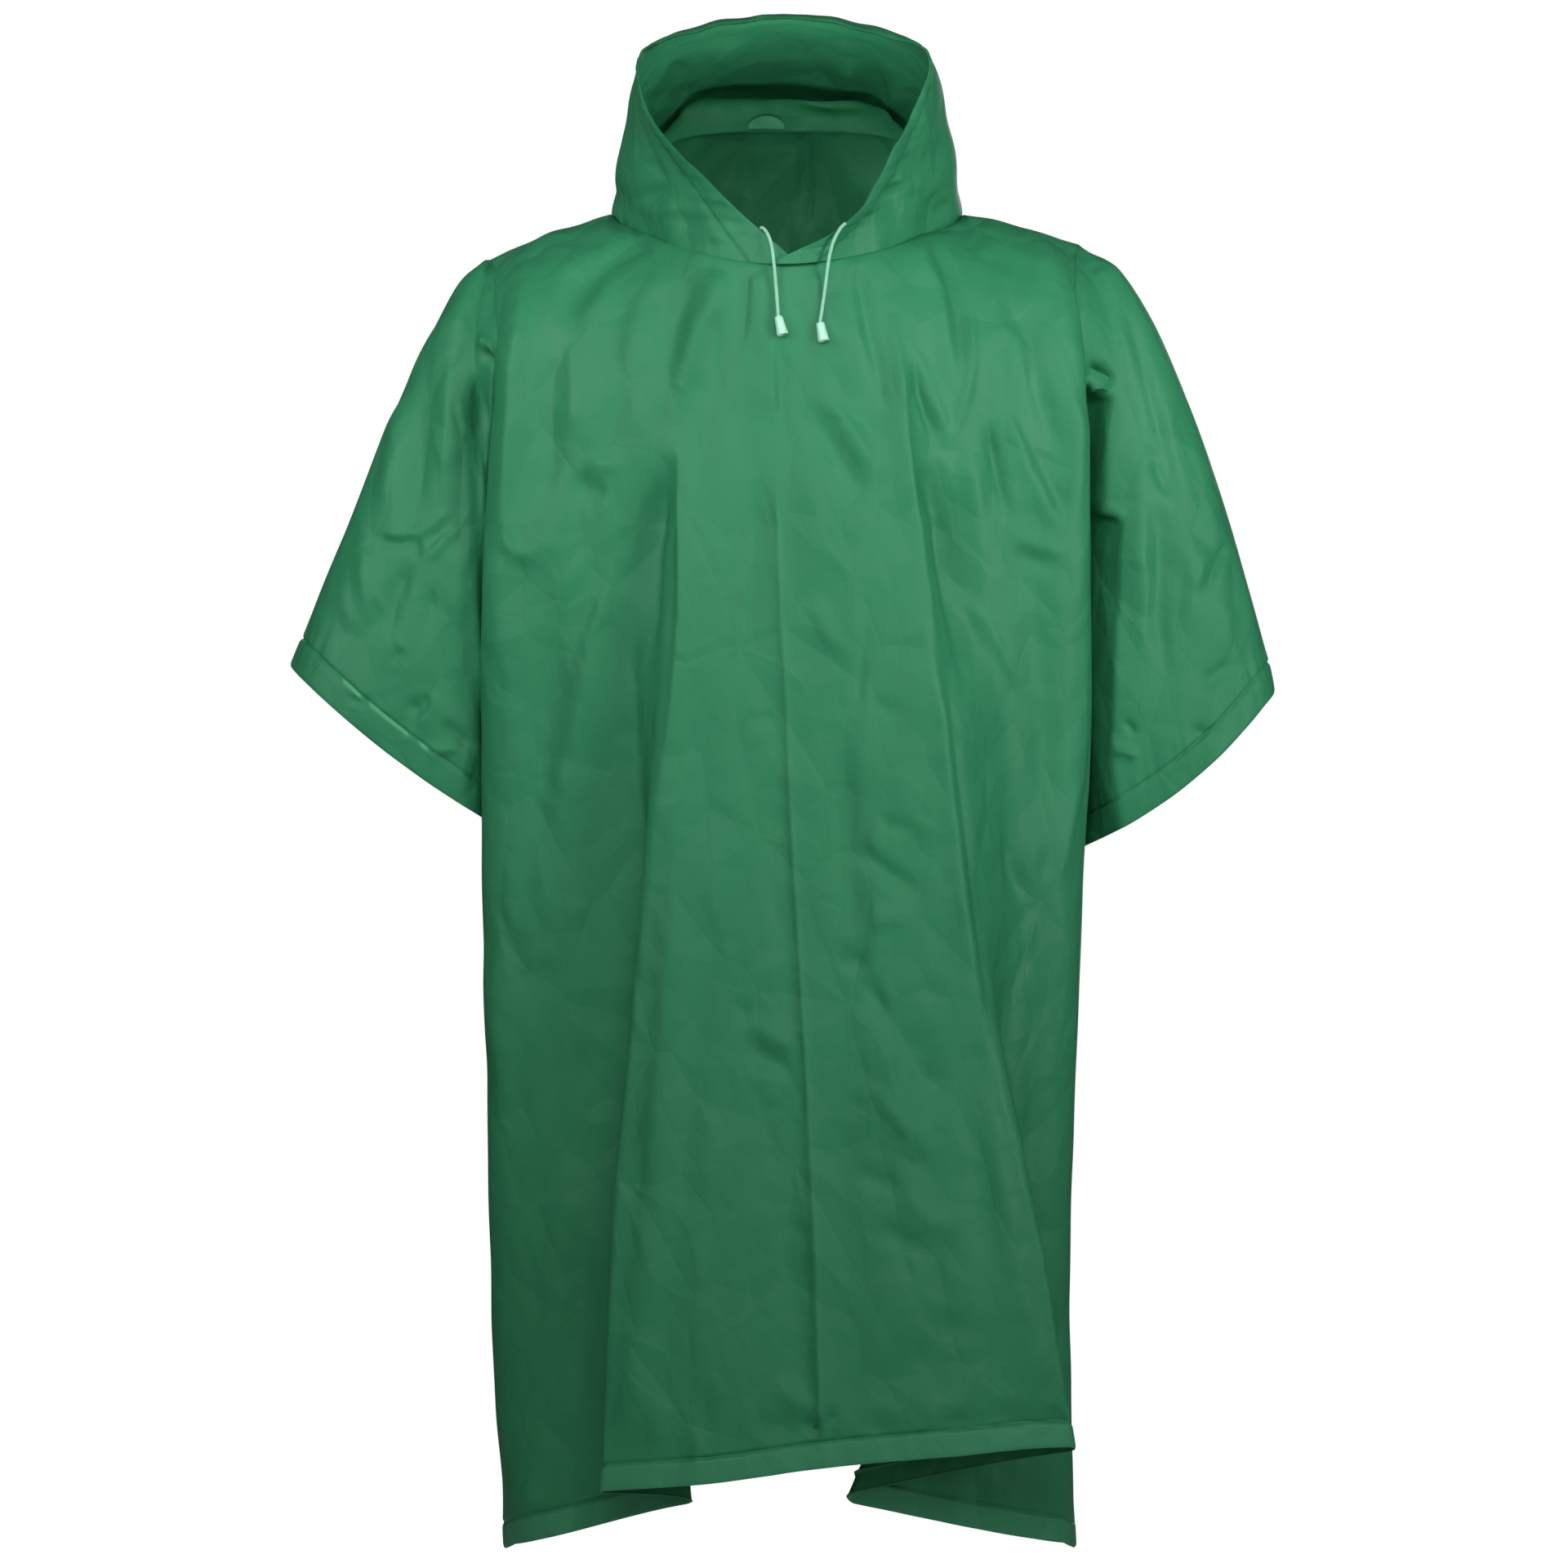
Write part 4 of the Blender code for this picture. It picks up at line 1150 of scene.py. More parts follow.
CHEST_FOLDS = in_zone(
    Zone.WHOLE,
    # the swag under the right arm, with its inner trough
    Fold(((-215, -45), (-218, -80), (-223, -115), (-226, -155), (-229, -200), (-231, -240),
          (-229, -265), (-222, -279), (-211, -281), (-200, -272), (-190, -255), (-184, -235),
          (-180, -212)), 5, 7, 9, 1.6, 0.2, 0.3),
    Fold(((-183, -90), (-192, -120), (-196, -170), (-197, -210), (-205, -238), (-218, -256)), -4.5,
          9, 9),
    Fold(((-188, -196), (-194, -214), (-202, -232)), -2.5, 4, 4),
    Fold(((-180, -92), (-177, -120), (-176, -150), (-177, -200)), 3, 16, 3.5, 1.4),
    Fold(((-110, -22), (-135, -33), (-155, -47), (-172, -67), (-183, -90)), -4, 8, 10, 2.0, 0.05,
          0.2),
    Fold(((-118, -18), (-150, -31), (-175, -42), (-195, -60)), 3, 7, 10, 1.7, 0.1),
    Fold(((-130, -50), (-150, -62), (-163, -85), (-170, -110)), 3, 11, 7, 1.6),
    Fold(((-218, -31), (-206, -32), (-195, -30)), -2, 5, 5),
    Fold(((-195, -18), (-165, -21), (-135, -23)), -2, 5, 6),
    Fold(((-172, -203), (-150, -206), (-130, -207)), 2.5, 6, 9),
    Fold(((-174, -212), (-162, -230), (-145, -223)), -3, 9, 9),
    # soft falls between the neck and the right fold
    Fold(((-50, -44), (-60, -75), (-70, -98), (-78, -122), (-85, -150), (-89, -176)), 4, 8, 15, 1.7,
          0.1),
    Fold(((-57, -75), (-55, -110), (-58, -150), (-62, -168)), -2.5, 8, 7),
    Fold(((-72, -50), (-86, -82), (-93, -115), (-99, -150)), -3, 10, 10, 2.0, 0.15),
    Fold(((-100, -40), (-118, -74), (-128, -112), (-132, -160)), 2, 12, 8, 1.8, 0.1),
    Fold(((-37, -45), (-40, -92), (-42, -140)), -2, 8, 8, 2.0, 0.1, 0.6),
    Fold(((-24, -46), (-25, -85), (-26, -120)), 1.5, 6, 6, 1.8, 0.1, 0.6),
    # the centre, from the throat to the first diagonal
    Fold(((-12, -95), (-9, -130), (-8, -185)), 2, 3, 14, 1.4),
    Fold(((-1, -102), (-2, -150), (0, -185)), -2.5, 5, 5),
    Fold(((-5, -187), (8, -205), (21, -226), (29, -250), (38, -272), (55, -300), (70, -322)), 3.5,
          7, 22, 1.5),
    Fold(((22, -128), (44, -162), (60, -186), (75, -210), (85, -226)), 4, 8, 10, 1.7),
    Fold(((15, -150), (38, -190), (58, -225), (70, -255)), -4, 10, 12),
    Fold(((24, -312), (31, -330), (37, -348), (45, -356), (55, -348)), 3, 7, 7, 1.6),
    Fold(((70, -325), (68, -350), (65, -370), (61, -400), (57, -426)), -3, 6, 6),
    Fold(((72, -400), (85, -412), (100, -408)), -2, 6, 6),
    Fold(((27, -46), (32, -92), (34, -125)), 2, 8, 9, 1.8, 0.1, 0.6),
    Fold(((45, -45), (50, -80), (50, -110)), -1.5, 6, 6, 2.0, 0.1, 0.6),
    # the falls from the left of the neck, and their crossing
    Fold(((60, -40), (65, -62), (71, -92), (79, -128), (84, -164)), -4.5, 5, 8, 1.8, 0.1),
    Fold(((79, -132), (82, -150), (84, -165)), -2, 3, 3),
    Fold(((107, -118), (112, -146), (122, -176), (129, -196)), -4, 6, 4),
    Fold(((104, -111), (113, -126), (122, -149), (131, -170), (135, -186), (135, -206)), 3, 5, 4,
          1.6),
    Fold(((155, -60), (156, -92), (155, -122), (152, -146), (145, -171), (138, -191), (135, -206)),
          3, 4, 4, 1.6),
    Fold(((122, -22), (132, -38), (141, -62), (147, -92), (149, -118), (149, -142)), -3.5, 5, 7,
          2.0, 0.1),
    Fold(((106, -20), (120, -36), (128, -60), (134, -95), (139, -130), (140, -158)), 2.5, 7, 8, 1.7,
          0.1),
    Fold(((125, -20), (140, -38), (150, -48)), 2, 4, 5),
    Fold(((170, -15), (168, -30), (155, -48)), 2, 5, 5),
    Fold(((118, -203), (120, -235), (117, -258)), -4.5, 8, 9),
    Fold(((150, -170), (156, -210), (161, -250), (166, -292)), 3, 10, 9),
    Fold(((168, -164), (174, -194), (181, -224), (190, -261)), -4, 3, 6),
    # the lobe under the left arm
    Fold(((160, -68), (172, -76), (186, -85), (198, -93), (207, -107), (211, -132), (217, -158),
          (224, -186), (232, -218)), -4.5, 7, 9),
    Fold(((164, -74), (180, -90), (194, -100), (199, -118), (202, -140)), 3, 4, 10, 1.6),
    Fold(((139, -14), (173, -36), (205, -46), (228, -60)), -2, 8, 8, 2.0, 0.1),
    Fold(((175, -145), (185, -165), (195, -186), (203, -206), (213, -226), (223, -246), (233, -262),
          (241, -271)), 5, 5, 14, 1.6),
    Fold(((207, -190), (216, -215), (228, -240), (237, -252)), -3, 8, 5),
    Fold(((243, -130), (245, -180), (244, -230), (241, -268)), 2.5, 5, 8),
    Fold(((190, -263), (206, -273), (226, -279), (243, -276)), 3, 9, 6, 1.6),
    Fold(((188, -276), (208, -288), (232, -292)), -2.5, 7, 6),
)
CENTRE_CREASE = ((-7, -190), (-5, -255), (-2, -337), (2, -400), (6, -500), (12, -602), (18, -697),
                 (22, -786), (26, -861), (29, -963), (31, -1010))
LONG_FOLDS = in_zone(
    Zone.MIDDLE,
    Fold(((-90, -176), (-88, -200), (-87, -250), (-86, -300), (-88, -350), (-92, -400), (-99, -450),
          (-106, -500)), 6, 40, 5, 1.3, 0.25, 0.6),
    Fold(((-84, -480), (-94, -600), (-102, -720), (-112, -840), (-124, -960), (-132, -1030)), 4, 20,
          12, 1.7, 0.2, 0.1),
    Fold(((-72, -520), (-74, -650), (-84, -800), (-96, -980)), -2.5, 14, 10),
    Fold(CENTRE_CREASE, 3.8, 28, 7, 1.3, 0.1, 0.02),
    Fold(CENTRE_CREASE, 0.8, 5, 2.5, 1.1, 0.1, 0.02),
    Fold(((-22, -182), (-24, -230), (-28, -300), (-38, -380), (-33, -415)), -3.5, 10, 8),
    Fold(((-33, -417), (-20, -420), (-3, -417)), -2, 3, 4, 1.4),
    Fold(((-40, -440), (-24, -520), (-18, -620), (-12, -720)), 2, 16, 22),
    Fold(((44, -430), (50, -500), (56, -580), (60, -640)), -4, 14, 16),
    Fold(((86, -420), (96, -480), (108, -530)), 2.5, 14, 12),
    Fold(((86, -75), (93, -108), (98, -140), (100, -175), (103, -200), (108, -235), (113, -268),
          (117, -300), (121, -335), (127, -372), (134, -412), (141, -452), (147, -500), (153, -556),
          (159, -602), (165, -660), (170, -720)), 6, 6, 17, 1.4, 0.12, 0.25),
    Fold(((164, -700), (176, -780), (190, -850), (206, -920), (224, -985)), 4, 5, 14, 1.4, 0.2,
          0.15),
    Fold(((150, -640), (158, -740), (172, -840), (186, -920)), -3, 12, 14),
) + in_zone(
    Zone.RIGHT,
    Fold(((-96, -190), (-103, -235), (-110, -280), (-113, -330), (-116, -380), (-120, -420)), -14,
          8, 28, 1.7, 0.3, 0.5),
) + in_zone(
    Zone.LEFT,
    Fold(((125, -200), (128, -240), (133, -280), (139, -320), (145, -352), (150, -385),
          (152, -420)), -12, 22, 7, 1.7, 0.3, 0.5),
    Fold(((155, -318), (162, -350), (165, -378)), -2.5, 5, 8),
    Fold(((155, -308), (172, -345), (188, -378), (201, -404)), 3.5, 12, 5, 1.5),
    Fold(((250, -150), (251, -260), (250, -380), (248, -500)), 2, 4, 10, 1.8, 0.1, 0.2),
    Fold(((205, -300), (214, -370), (218, -450), (214, -520)), -3, 12, 14),
)
SIDE_FOLDS = in_zone(
    Zone.RIGHT,
    Fold(((-145, -255), (-146, -300), (-152, -325), (-160, -350), (-165, -375), (-170, -402),
          (-176, -432), (-183, -466), (-190, -500), (-195, -522)), 5, 14, 5, 1.5),
    Fold(((-178, -330), (-186, -352), (-188, -372), (-194, -402), (-198, -432), (-201, -472),
          (-205, -512), (-211, -552), (-213, -582)), -4.5, 8, 10),
    Fold(((-167, -278), (-175, -296), (-184, -314), (-192, -338)), 3, 4, 5),
    Fold(((-200, -362), (-192, -361), (-185, -358)), -1.5, 3, 3),
    Fold(((-243, -560), (-237, -580), (-228, -605), (-222, -628), (-214, -652)), -2.5, 5, 3, 1.4),
    Fold(((-212, -545), (-214, -575), (-208, -600)), -2, 5, 5),
    Fold(((-197, -606), (-206, -616), (-211, -630)), 2.5, 5, 4, 1.5),
    Fold(((-166, -520), (-170, -580), (-172, -640), (-178, -700), (-184, -712)), 3.5, 9, 9, 1.6,
          0.3, 0.1),
    Fold(((-242, -600), (-243, -660), (-240, -720)), 2.5, 9, 6),
    Fold(((-226, -650), (-222, -720), (-216, -800)), -2.5, 12, 10),
    Fold(((-225, -796), (-214, -799), (-200, -799)), -1.6, 3, 4, 1.4),
    Fold(((-222, -815), (-208, -813), (-190, -806)), -1.8, 3, 4, 1.4),
    Fold(((-155, -792), (-146, -790), (-137, -788)), -1.8, 3, 3, 1.4),
    Fold(((-165, -836), (-160, -832), (-156, -830)), -1.6, 3, 3, 1.4),
    Fold(((-184, -760), (-190, -860), (-196, -960), (-204, -1040)), 3, 14, 12),
    Fold(((-160, -820), (-164, -900), (-172, -1000)), -3, 10, 12),
    Fold(((-238, -860), (-236, -960), (-232, -1060)), 2, 8, 8),
    Fold(((-228, -1058), (-218, -1066), (-205, -1080)), 3, 9, 6, 1.5),
) + in_zone(
    Zone.LEFT,
    Fold(((250, -450), (245, -475), (240, -495), (235, -520), (228, -545), (220, -568),
          (215, -582)), 3, 6, 5, 1.5),
    Fold(((158, -498), (178, -524), (190, -546), (200, -572), (207, -596)), -4.5, 9, 9),
    Fold(((206, -598), (200, -620), (192, -642), (188, -668)), -2.5, 4, 4, 1.5),
    Fold(((214, -500), (206, -540), (196, -590)), 2.5, 9, 9),
    Fold(((186, -690), (190, -730), (196, -762)), 2.5, 10, 8),
    Fold(((214, -690), (208, -740), (208, -800)), -2.5, 10, 8),
    Fold(((228, -880), (230, -930), (226, -975)), -2, 6, 6),
    Fold(((150, -1052), (176, -1062), (196, -1080)), 2, 8, 8),
    Fold(((205, -1036), (196, -1058), (186, -1082)), 2, 5, 6, 1.5),
)
LOW_FOLDS = in_zone(
    Zone.MIDDLE,
    Fold(((75, -500), (95, -510), (110, -506)), -2, 5, 5),
    Fold(((102, -500), (118, -508), (130, -505)), 1.5, 3, 4),
    Fold(((60, -515), (68, -531), (86, -546), (105, -560), (111, -576)), -3.5, 7, 8),
    Fold(((62, -592), (90, -583), (112, -584)), 3.5, 6, 8, 1.7),
    Fold(((46, -612), (60, -600), (74, -588)), 2.5, 6, 6),
    Fold(((48, -616), (60, -622), (68, -612)), -3.5, 6, 6),
    Fold(((64, -632), (74, -646), (82, -660), (98, -662)), -3.5, 6, 7),
    Fold(((82, -668), (88, -700), (96, -736), (110, -760), (124, -782)), 3, 5, 18, 1.5),
    Fold(((106, -646), (122, -645), (132, -652)), -1.8, 6, 6),
    Fold(((104, -668), (112, -700), (118, -740)), -3.5, 14, 12),
    Fold(((106, -710), (118, -716), (130, -712)), -1.2, 4, 4),
    Fold(((60, -722), (78, -732), (96, -740)), 2, 5, 6),
    Fold(((50, -730), (62, -744), (70, -752)), -1.8, 4, 5),
    Fold(((74, -736), (92, -750), (104, -764), (118, -776)), 3, 8, 6),
    Fold(((96, -786), (112, -788), (124, -784)), -3, 5, 5),
    Fold(((58, -792), (72, -800), (88, -806), (98, -798)), -3.5, 5, 7),
    Fold(((96, -806), (108, -822), (122, -838), (146, -846), (156, -856)), 3.5, 9, 8, 1.7),
    Fold(((76, -838), (92, -848), (108, -856), (124, -856)), -3.5, 7, 9),
    Fold(((96, -862), (102, -876), (106, -886)), -2, 5, 5),
    Fold(((-40, -652), (-32, -664), (-26, -676)), -2.5, 6, 7),
    Fold(((-30, -662), (-18, -680), (0, -690), (14, -692)), 3.5, 8, 5, 1.6),
    Fold(((-27, -682), (-20, -696), (-2, -708), (8, -706)), -4, 7, 7),
    Fold(((-32, -712), (-20, -718), (-4, -724)), 2.5, 5, 6),
    Fold(((-12, -734), (-6, -737), (2, -736)), 2, 3, 3, 1.5),
    Fold(((-26, -748), (-10, -742), (4, -740)), -1.8, 3, 4),
    Fold(((8, -730), (14, -730), (18, -729)), -1.6, 3, 3),
    Fold(((2, -838), (12, -844), (24, -842)), -2.2, 6, 6),
    Fold(((-60, -812), (-50, -816), (-40, -822)), 1, 3, 3),
    Fold(((126, -926), (140, -926), (156, -920)), -2.5, 8, 8),
    Fold(((100, -940), (112, -948), (124, -954)), -1.5, 6, 6),
    Fold(((150, -960), (168, -974), (188, -988), (206, -996)), 1.8, 6, 5),
    Fold(((110, -900), (130, -906), (146, -904)), 1.5, 8, 8),
    Fold(((-10, -968), (2, -982), (14, -992), (28, -1000)), 4.5, 9, 8, 1.7),
    Fold(((-20, -1012), (-4, -1010), (10, -1006)), -3.5, 5, 6),
    Fold(((12, -1002), (24, -1008), (34, -1012)), -5, 4, 5),
    Fold(((33, -1008), (40, -1000), (48, -994)), -3.5, 3, 4),
    Fold(((40, -1014), (48, -1006), (58, -1000)), 3.5, 5, 5, 1.6),
    Fold(((66, -1008), (74, -1008), (84, -1014)), -3, 4, 5),
    Fold(((80, -980), (90, -994), (96, -1010)), 3, 10, 8),
    Fold(((114, -1010), (124, -1000), (142, -990), (162, -986)), 3.5, 7, 5, 1.6),
    Fold(((130, -1008), (150, -1004), (175, -1002)), -2.5, 5, 5),
    Fold(((176, -1000), (200, -1002), (216, -1004)), -3, 6, 6),
    Fold(((218, -994), (228, -1000), (238, -1002)), -3.5, 4, 5),
    Fold(((-60, -1020), (-66, -1000), (-64, -970)), -2, 8, 8),
    Fold(((-110, -1030), (-104, -1010), (-102, -980)), 2, 8, 8),
)
FRONT_FOLDS = CHEST_FOLDS + LONG_FOLDS + SIDE_FOLDS + LOW_FOLDS
BACK_FOLDS = turned(CHEST_FOLDS[4:] + LOW_FOLDS, (14, 34)) + in_zone(
    Zone.WHOLE,
    Fold(((15, 70), (17, 30), (14, -14)), 7, 6, 3, 1.4, 0.02, 0.3),
    Fold(((-74, 66), (-79, 52), (-84, 36)), -3, 6, 4, 1.6, 0.05, 0.5),
    Fold(((-66, 55), (-52, 56), (-40, 62)), 2, 4, 4, 1.6),
    Fold(((-32, 66), (-30, 40), (-26, 10)), 2, 5, 8, 1.8, 0.05, 0.5),
    Fold(((-90, 10), (-104, -60), (-118, -140)), 3, 14, 18, 1.6, 0.1, 0.5),
    Fold(((60, 20), (70, -60), (92, -150)), 3, 16, 14, 1.6, 0.1, 0.5),
    Fold(((-20, 30), (-24, -120), (-26, -330), (-27, -620)), 2, 8, 8, 1.2, 0.1, 0.4),
    Fold(((190, -90), (172, -150), (148, -240)), 3.5, 10, 24, 1.5),
    Fold(((-196, -96), (-180, -160), (-160, -250)), 3.5, 24, 10, 1.5),
)


# -------------------------------------------------------------------- sleeves
@dataclass
class Sleeve:
    """Half sleeve from the armhole to the cuff."""

    side: Side
    # top_x, top_z, low_x, low_z, front, back, bow for each ring
    rings: tuple[tuple[float, ...], ...]
    folds: tuple[Fold, ...]
    cut: Cut
    front: BodyPanel
    back: BodyPanel
    recess: Recess | None = None    # beside the body
    painted_glints: tuple[Pair, ...] = ()   # ranges of u in mm where a painted highlight lies on the weld line
    painted_glint_strength: float = 1.6              # how strongly the highlight is painted there, how wide and how soft
    painted_glint_width: float = 0.0012
    painted_glint_run: float = 0.003
    relief: float = 1.3
    back_relief: float = 0.8
    back_shift: Pair = (0.008, 0.026)
    waves: Waves = Waves(12, 0.05, 0.20)
    wave_height: float = 0.0008
    calm: Pair = (0.012, 0.030)     # folds fade this near to the armhole and to the back half
    bridge: ArmholeBridge = ArmholeBridge()
    armhole_gap: float = 0.0002
    # the back half's section is fullest towards its top and thins out downward
    full_at: float = 0.72
    thinning: float = 0.30
    fullness: float = 0.50
    front_section: Pair = (2.4, 0.75)       # powers that round the front half's section
    ring_steps: int = 61
    cuff: float = 0.024
    rows: int = 104
    half_columns: int = 130
    band_rows: int = 24
    seed: int = 11

    def _grid(self, in_front: Array) -> Array:
        """Grid without its small folds, from the armhole to the cuff.

        Args:
            in_front: for each column, whether it lies on the front half.

        Returns:
            Rows by columns by 3.
        """
        levels = np.linspace(0.0, UNDERARM_LEVEL, self.half_columns + 1)
        down, up = (panel.side_edge(self.side, levels) for panel in (self.front, self.back))
        start = np.concatenate([(down[:1] + up[:1]) / 2, down[1:-1], (down[-1:] + up[-1:]) / 2,
                                up[-2:0:-1]])
        share = np.concatenate([levels, levels[-2:0:-1]]) / UNDERARM_LEVEL
        knots = [start + np.array([self.side.value * self.armhole_gap, 0.0, 0.0])]
        knots += [self._ring(ring, share, in_front) for ring in self.rings]
        dense = smooth(np.stack(knots), np.linspace(0, len(self.rings), self.ring_steps))
        reached = run_length(dense, 0)
        grid = np.empty((self.rows + self.band_rows, dense.shape[1], 3))
        for c in range(dense.shape[1]):
            total = reached[-1, c]
            bend = total - BAND_SHARE * self.cuff
            wanted = np.concatenate([np.linspace(0.0, bend, self.rows, endpoint=False),
                                     np.linspace(bend, total, self.band_rows)])
            for axis in range(3):
                grid[:, c, axis] = np.interp(wanted, reached[:, c], dense[:, c, axis])
        return grid

    def _ring(self, ring: tuple[float, ...], share: Array, in_front: Array) -> Array:
        """Hanging ring: full at the arm, narrow at its lowest edge.

        Args:
            ring: its row of the table.
            share: 0 at the top to 1 at the bottom, for each column.
            in_front: for each column, whether it lies on the front half.

        Returns:
            One point for each column.
        """
        top_x, top_z, low_x, low_z, front, back, bow = ring
        top, low = np.array([top_x, 0.0, top_z]), np.array([low_x, 0.0, low_z])
        outward = unit(np.array([top_z - low_z, 0.0, low_x - top_x])) * np.sign(top_x)
        along = 0.5 - 0.5 * np.cos(np.pi * share)
        hung = (np.sin(np.pi * share ** self.full_at)
                * (1.0 - self.thinning * share)) ** self.fullness
        sides, crown = self.front_section
        flat = (1.0 - np.abs(2.0 * share - 1.0) ** sides) ** crown
        points = top + (low - top) * along[:, None]
        points = points + outward * (bow * np.sin(np.pi * along))[:, None]
        points[:, 1] = np.where(in_front, -front, back) * np.where(in_front, flat, hung)
        return points

    def build(self, paints: Paints) -> list[Piece]:
        """The sleeve with its folds, and its turned hem; the panels are built before it.

        Args:
            paints: the poncho's materials.

        Returns:
            The two pieces.
        """
        in_front = np.arange(2 * self.half_columns) <= self.half_columns
        grid = self._grid(in_front)
        facing = np.where(in_front, -1.0, 1.0) + 0.0 * grid[..., 0]
        film = Film(self.bridge.draw(grid, facing), True, float(self.side.value))
        u, v = film.on_view()
        if self.recess is not None:
            self.recess.sink(film, facing < 0.0)
        height = self.relief * lift_of(self.folds, u, v) * (facing < 0.0)
        height += self.back_relief * lift_of(self.folds, u + self.back_shift[0] * self.side.value,
                                             v + self.back_shift[1]) * (facing > 0.0)
        height += self.wave_height * self.waves.at(self.seed, u + grid[..., 1], v)
        height *= (ease(film.from_top() / self.calm[0])
                   * ease(np.abs(film.points[..., 1]) / self.calm[1]))
        along = np.cumsum(np.linalg.norm(np.diff(grid[-1], axis=0, append=grid[-1, :1]), axis=1))
        edge = film.from_edge()
        height += HemRelief(self.cuff, self.seed).height(edge, along[None] + 0.0 * u)
        film.raise_by(height)
        # painted highlight: over these ranges the front of the weld line is painted in the pale
        # colour
        for low, high in self.painted_glints:
            near = ease((u - low * MM) / self.painted_glint_run) * ease((high * MM - u) / self.painted_glint_run)
            line = np.exp(-((edge - self.cuff) / self.painted_glint_width) ** 2)
            film.paleness_and_highlight += self.painted_glint_strength * near * line * (facing < 0.0)
        word = self.side.word
        return hang(film, film.turned_hem(self.band_rows), ("sleeve_" + word, "sleeve_hem_" + word),
                    ("sleeve_film_" + word, "sleeve_turned_hem_" + word), paints)


SLEEVE_RIGHT = ((-0.2510, -0.0400, -0.2440, -0.446, 0.074, 0.062, 0.000),
                (-0.2720, -0.0620, -0.2430, -0.448, 0.0800, 0.071, 0.000),
                (-0.3060, -0.1260, -0.2420, -0.460, 0.0785, 0.074, 0.001),
                (-0.3468, -0.2210, -0.2375, -0.476, 0.078, 0.076, 0.002),
                (-0.3850, -0.3140, -0.2380, -0.492, 0.077, 0.075, 0.004),
                (-0.4094, -0.3742, -0.2385, -0.507, 0.074, 0.072, 0.006))
SLEEVE_LEFT = ((0.2530, -0.0310, 0.2420, -0.452, 0.066, 0.060, 0.000),
               (0.2790, -0.0470, 0.2410, -0.456, 0.0755, 0.071, 0.000),
               (0.3110, -0.0990, 0.2400, -0.470, 0.0775, 0.074, 0.002),
               (0.3500, -0.1970, 0.2405, -0.490, 0.078, 0.076, 0.005),
               (0.3850, -0.3080, 0.2410, -0.510, 0.078, 0.076, 0.009),
               (0.4066, -0.3946, 0.2415, -0.529, 0.074, 0.072, 0.013))
SLEEVE_RIGHT_FOLDS = (
    Fold(((-256, -128), (-253, -160), (-249, -200), (-244, -240)), -7, 6, 4, 2.2, 0.35, 0.6),
    Fold(((-298, -120), (-302, -170), (-305, -220), (-309, -258)), -4, 10, 10),
    Fold(((-316, -140), (-325, -190), (-333, -235), (-339, -256)), 2.5, 8, 9, 1.7),
    Fold(((-276, -95), (-279, -150), (-280, -210), (-276, -236)), 3.5, 9, 9, 1.7),
    Fold(((-259, -70), (-259, -100), (-258, -136)), -2.5, 3, 4, 1.6),
    Fold(((-256, -101), (-240, -111), (-226, -124)), 4, 4, 5, 1.5, 0.2, 0.2),
    Fold(((-253, -110), (-242, -119), (-232, -128)), -3.5, 4, 4),
    Fold(((-275, -149), (-273, -168), (-266, -184)), -2, 3, 3),
    Fold(((-341, -264), (-312, -265), (-292, -258), (-273, -240)), 3, 4, 3, 1.4, 0.25, 0.25),
    Fold(((-339, -270), (-322, -272), (-305, -270)), -2, 3, 4, 1.8, 0.25, 0.25),
    Fold(((-306, -289), (-287, -275), (-270, -254)), 3, 4, 5, 1.6),
    Fold(((-305, -266), (-305, -276), (-304, -285)), -3, 3, 3),
    Fold(((-348, -262), (-350, -300), (-345, -345)), 3, 8, 9, 1.7),
    Fold(((-306, -288), (-318, -305), (-326, -330), (-328, -354)), -4, 7, 8),
    Fold(((-343, -306), (-337, -321), (-328, -337)), 1.6, 3, 3, 1.5),
    Fold(((-324, -352), (-319, -358), (-313, -362)), 2, 3, 3, 1.5),
    Fold(((-330, -372), (-322, -366), (-316, -358)), -2, 3, 3),
    Fold(((-292, -306), (-294, -330), (-300, -354)), -2.2, 4, 5),
    Fold(((-273, -258), (-271, -300), (-270, -350)), 3, 10, 9, 1.7),
    Fold(((-315, -402), (-302, -412), (-294, -396)), -3, 6, 6),
    Fold(((-284, -398), (-296, -412), (-308, -426)), 3, 5, 5, 1.6),
    Fold(((-288, -420), (-272, -432), (-258, -446)), -3, 6, 6),
    Fold(((-365, -399), (-352, -405), (-342, -398)), -2, 4, 4),
    Fold(((-300, -446), (-282, -444), (-268, -440)), 2.5, 5, 5),
    Fold(((-370, -300), (-362, -330), (-356, -352)), 2, 9, 8),
)
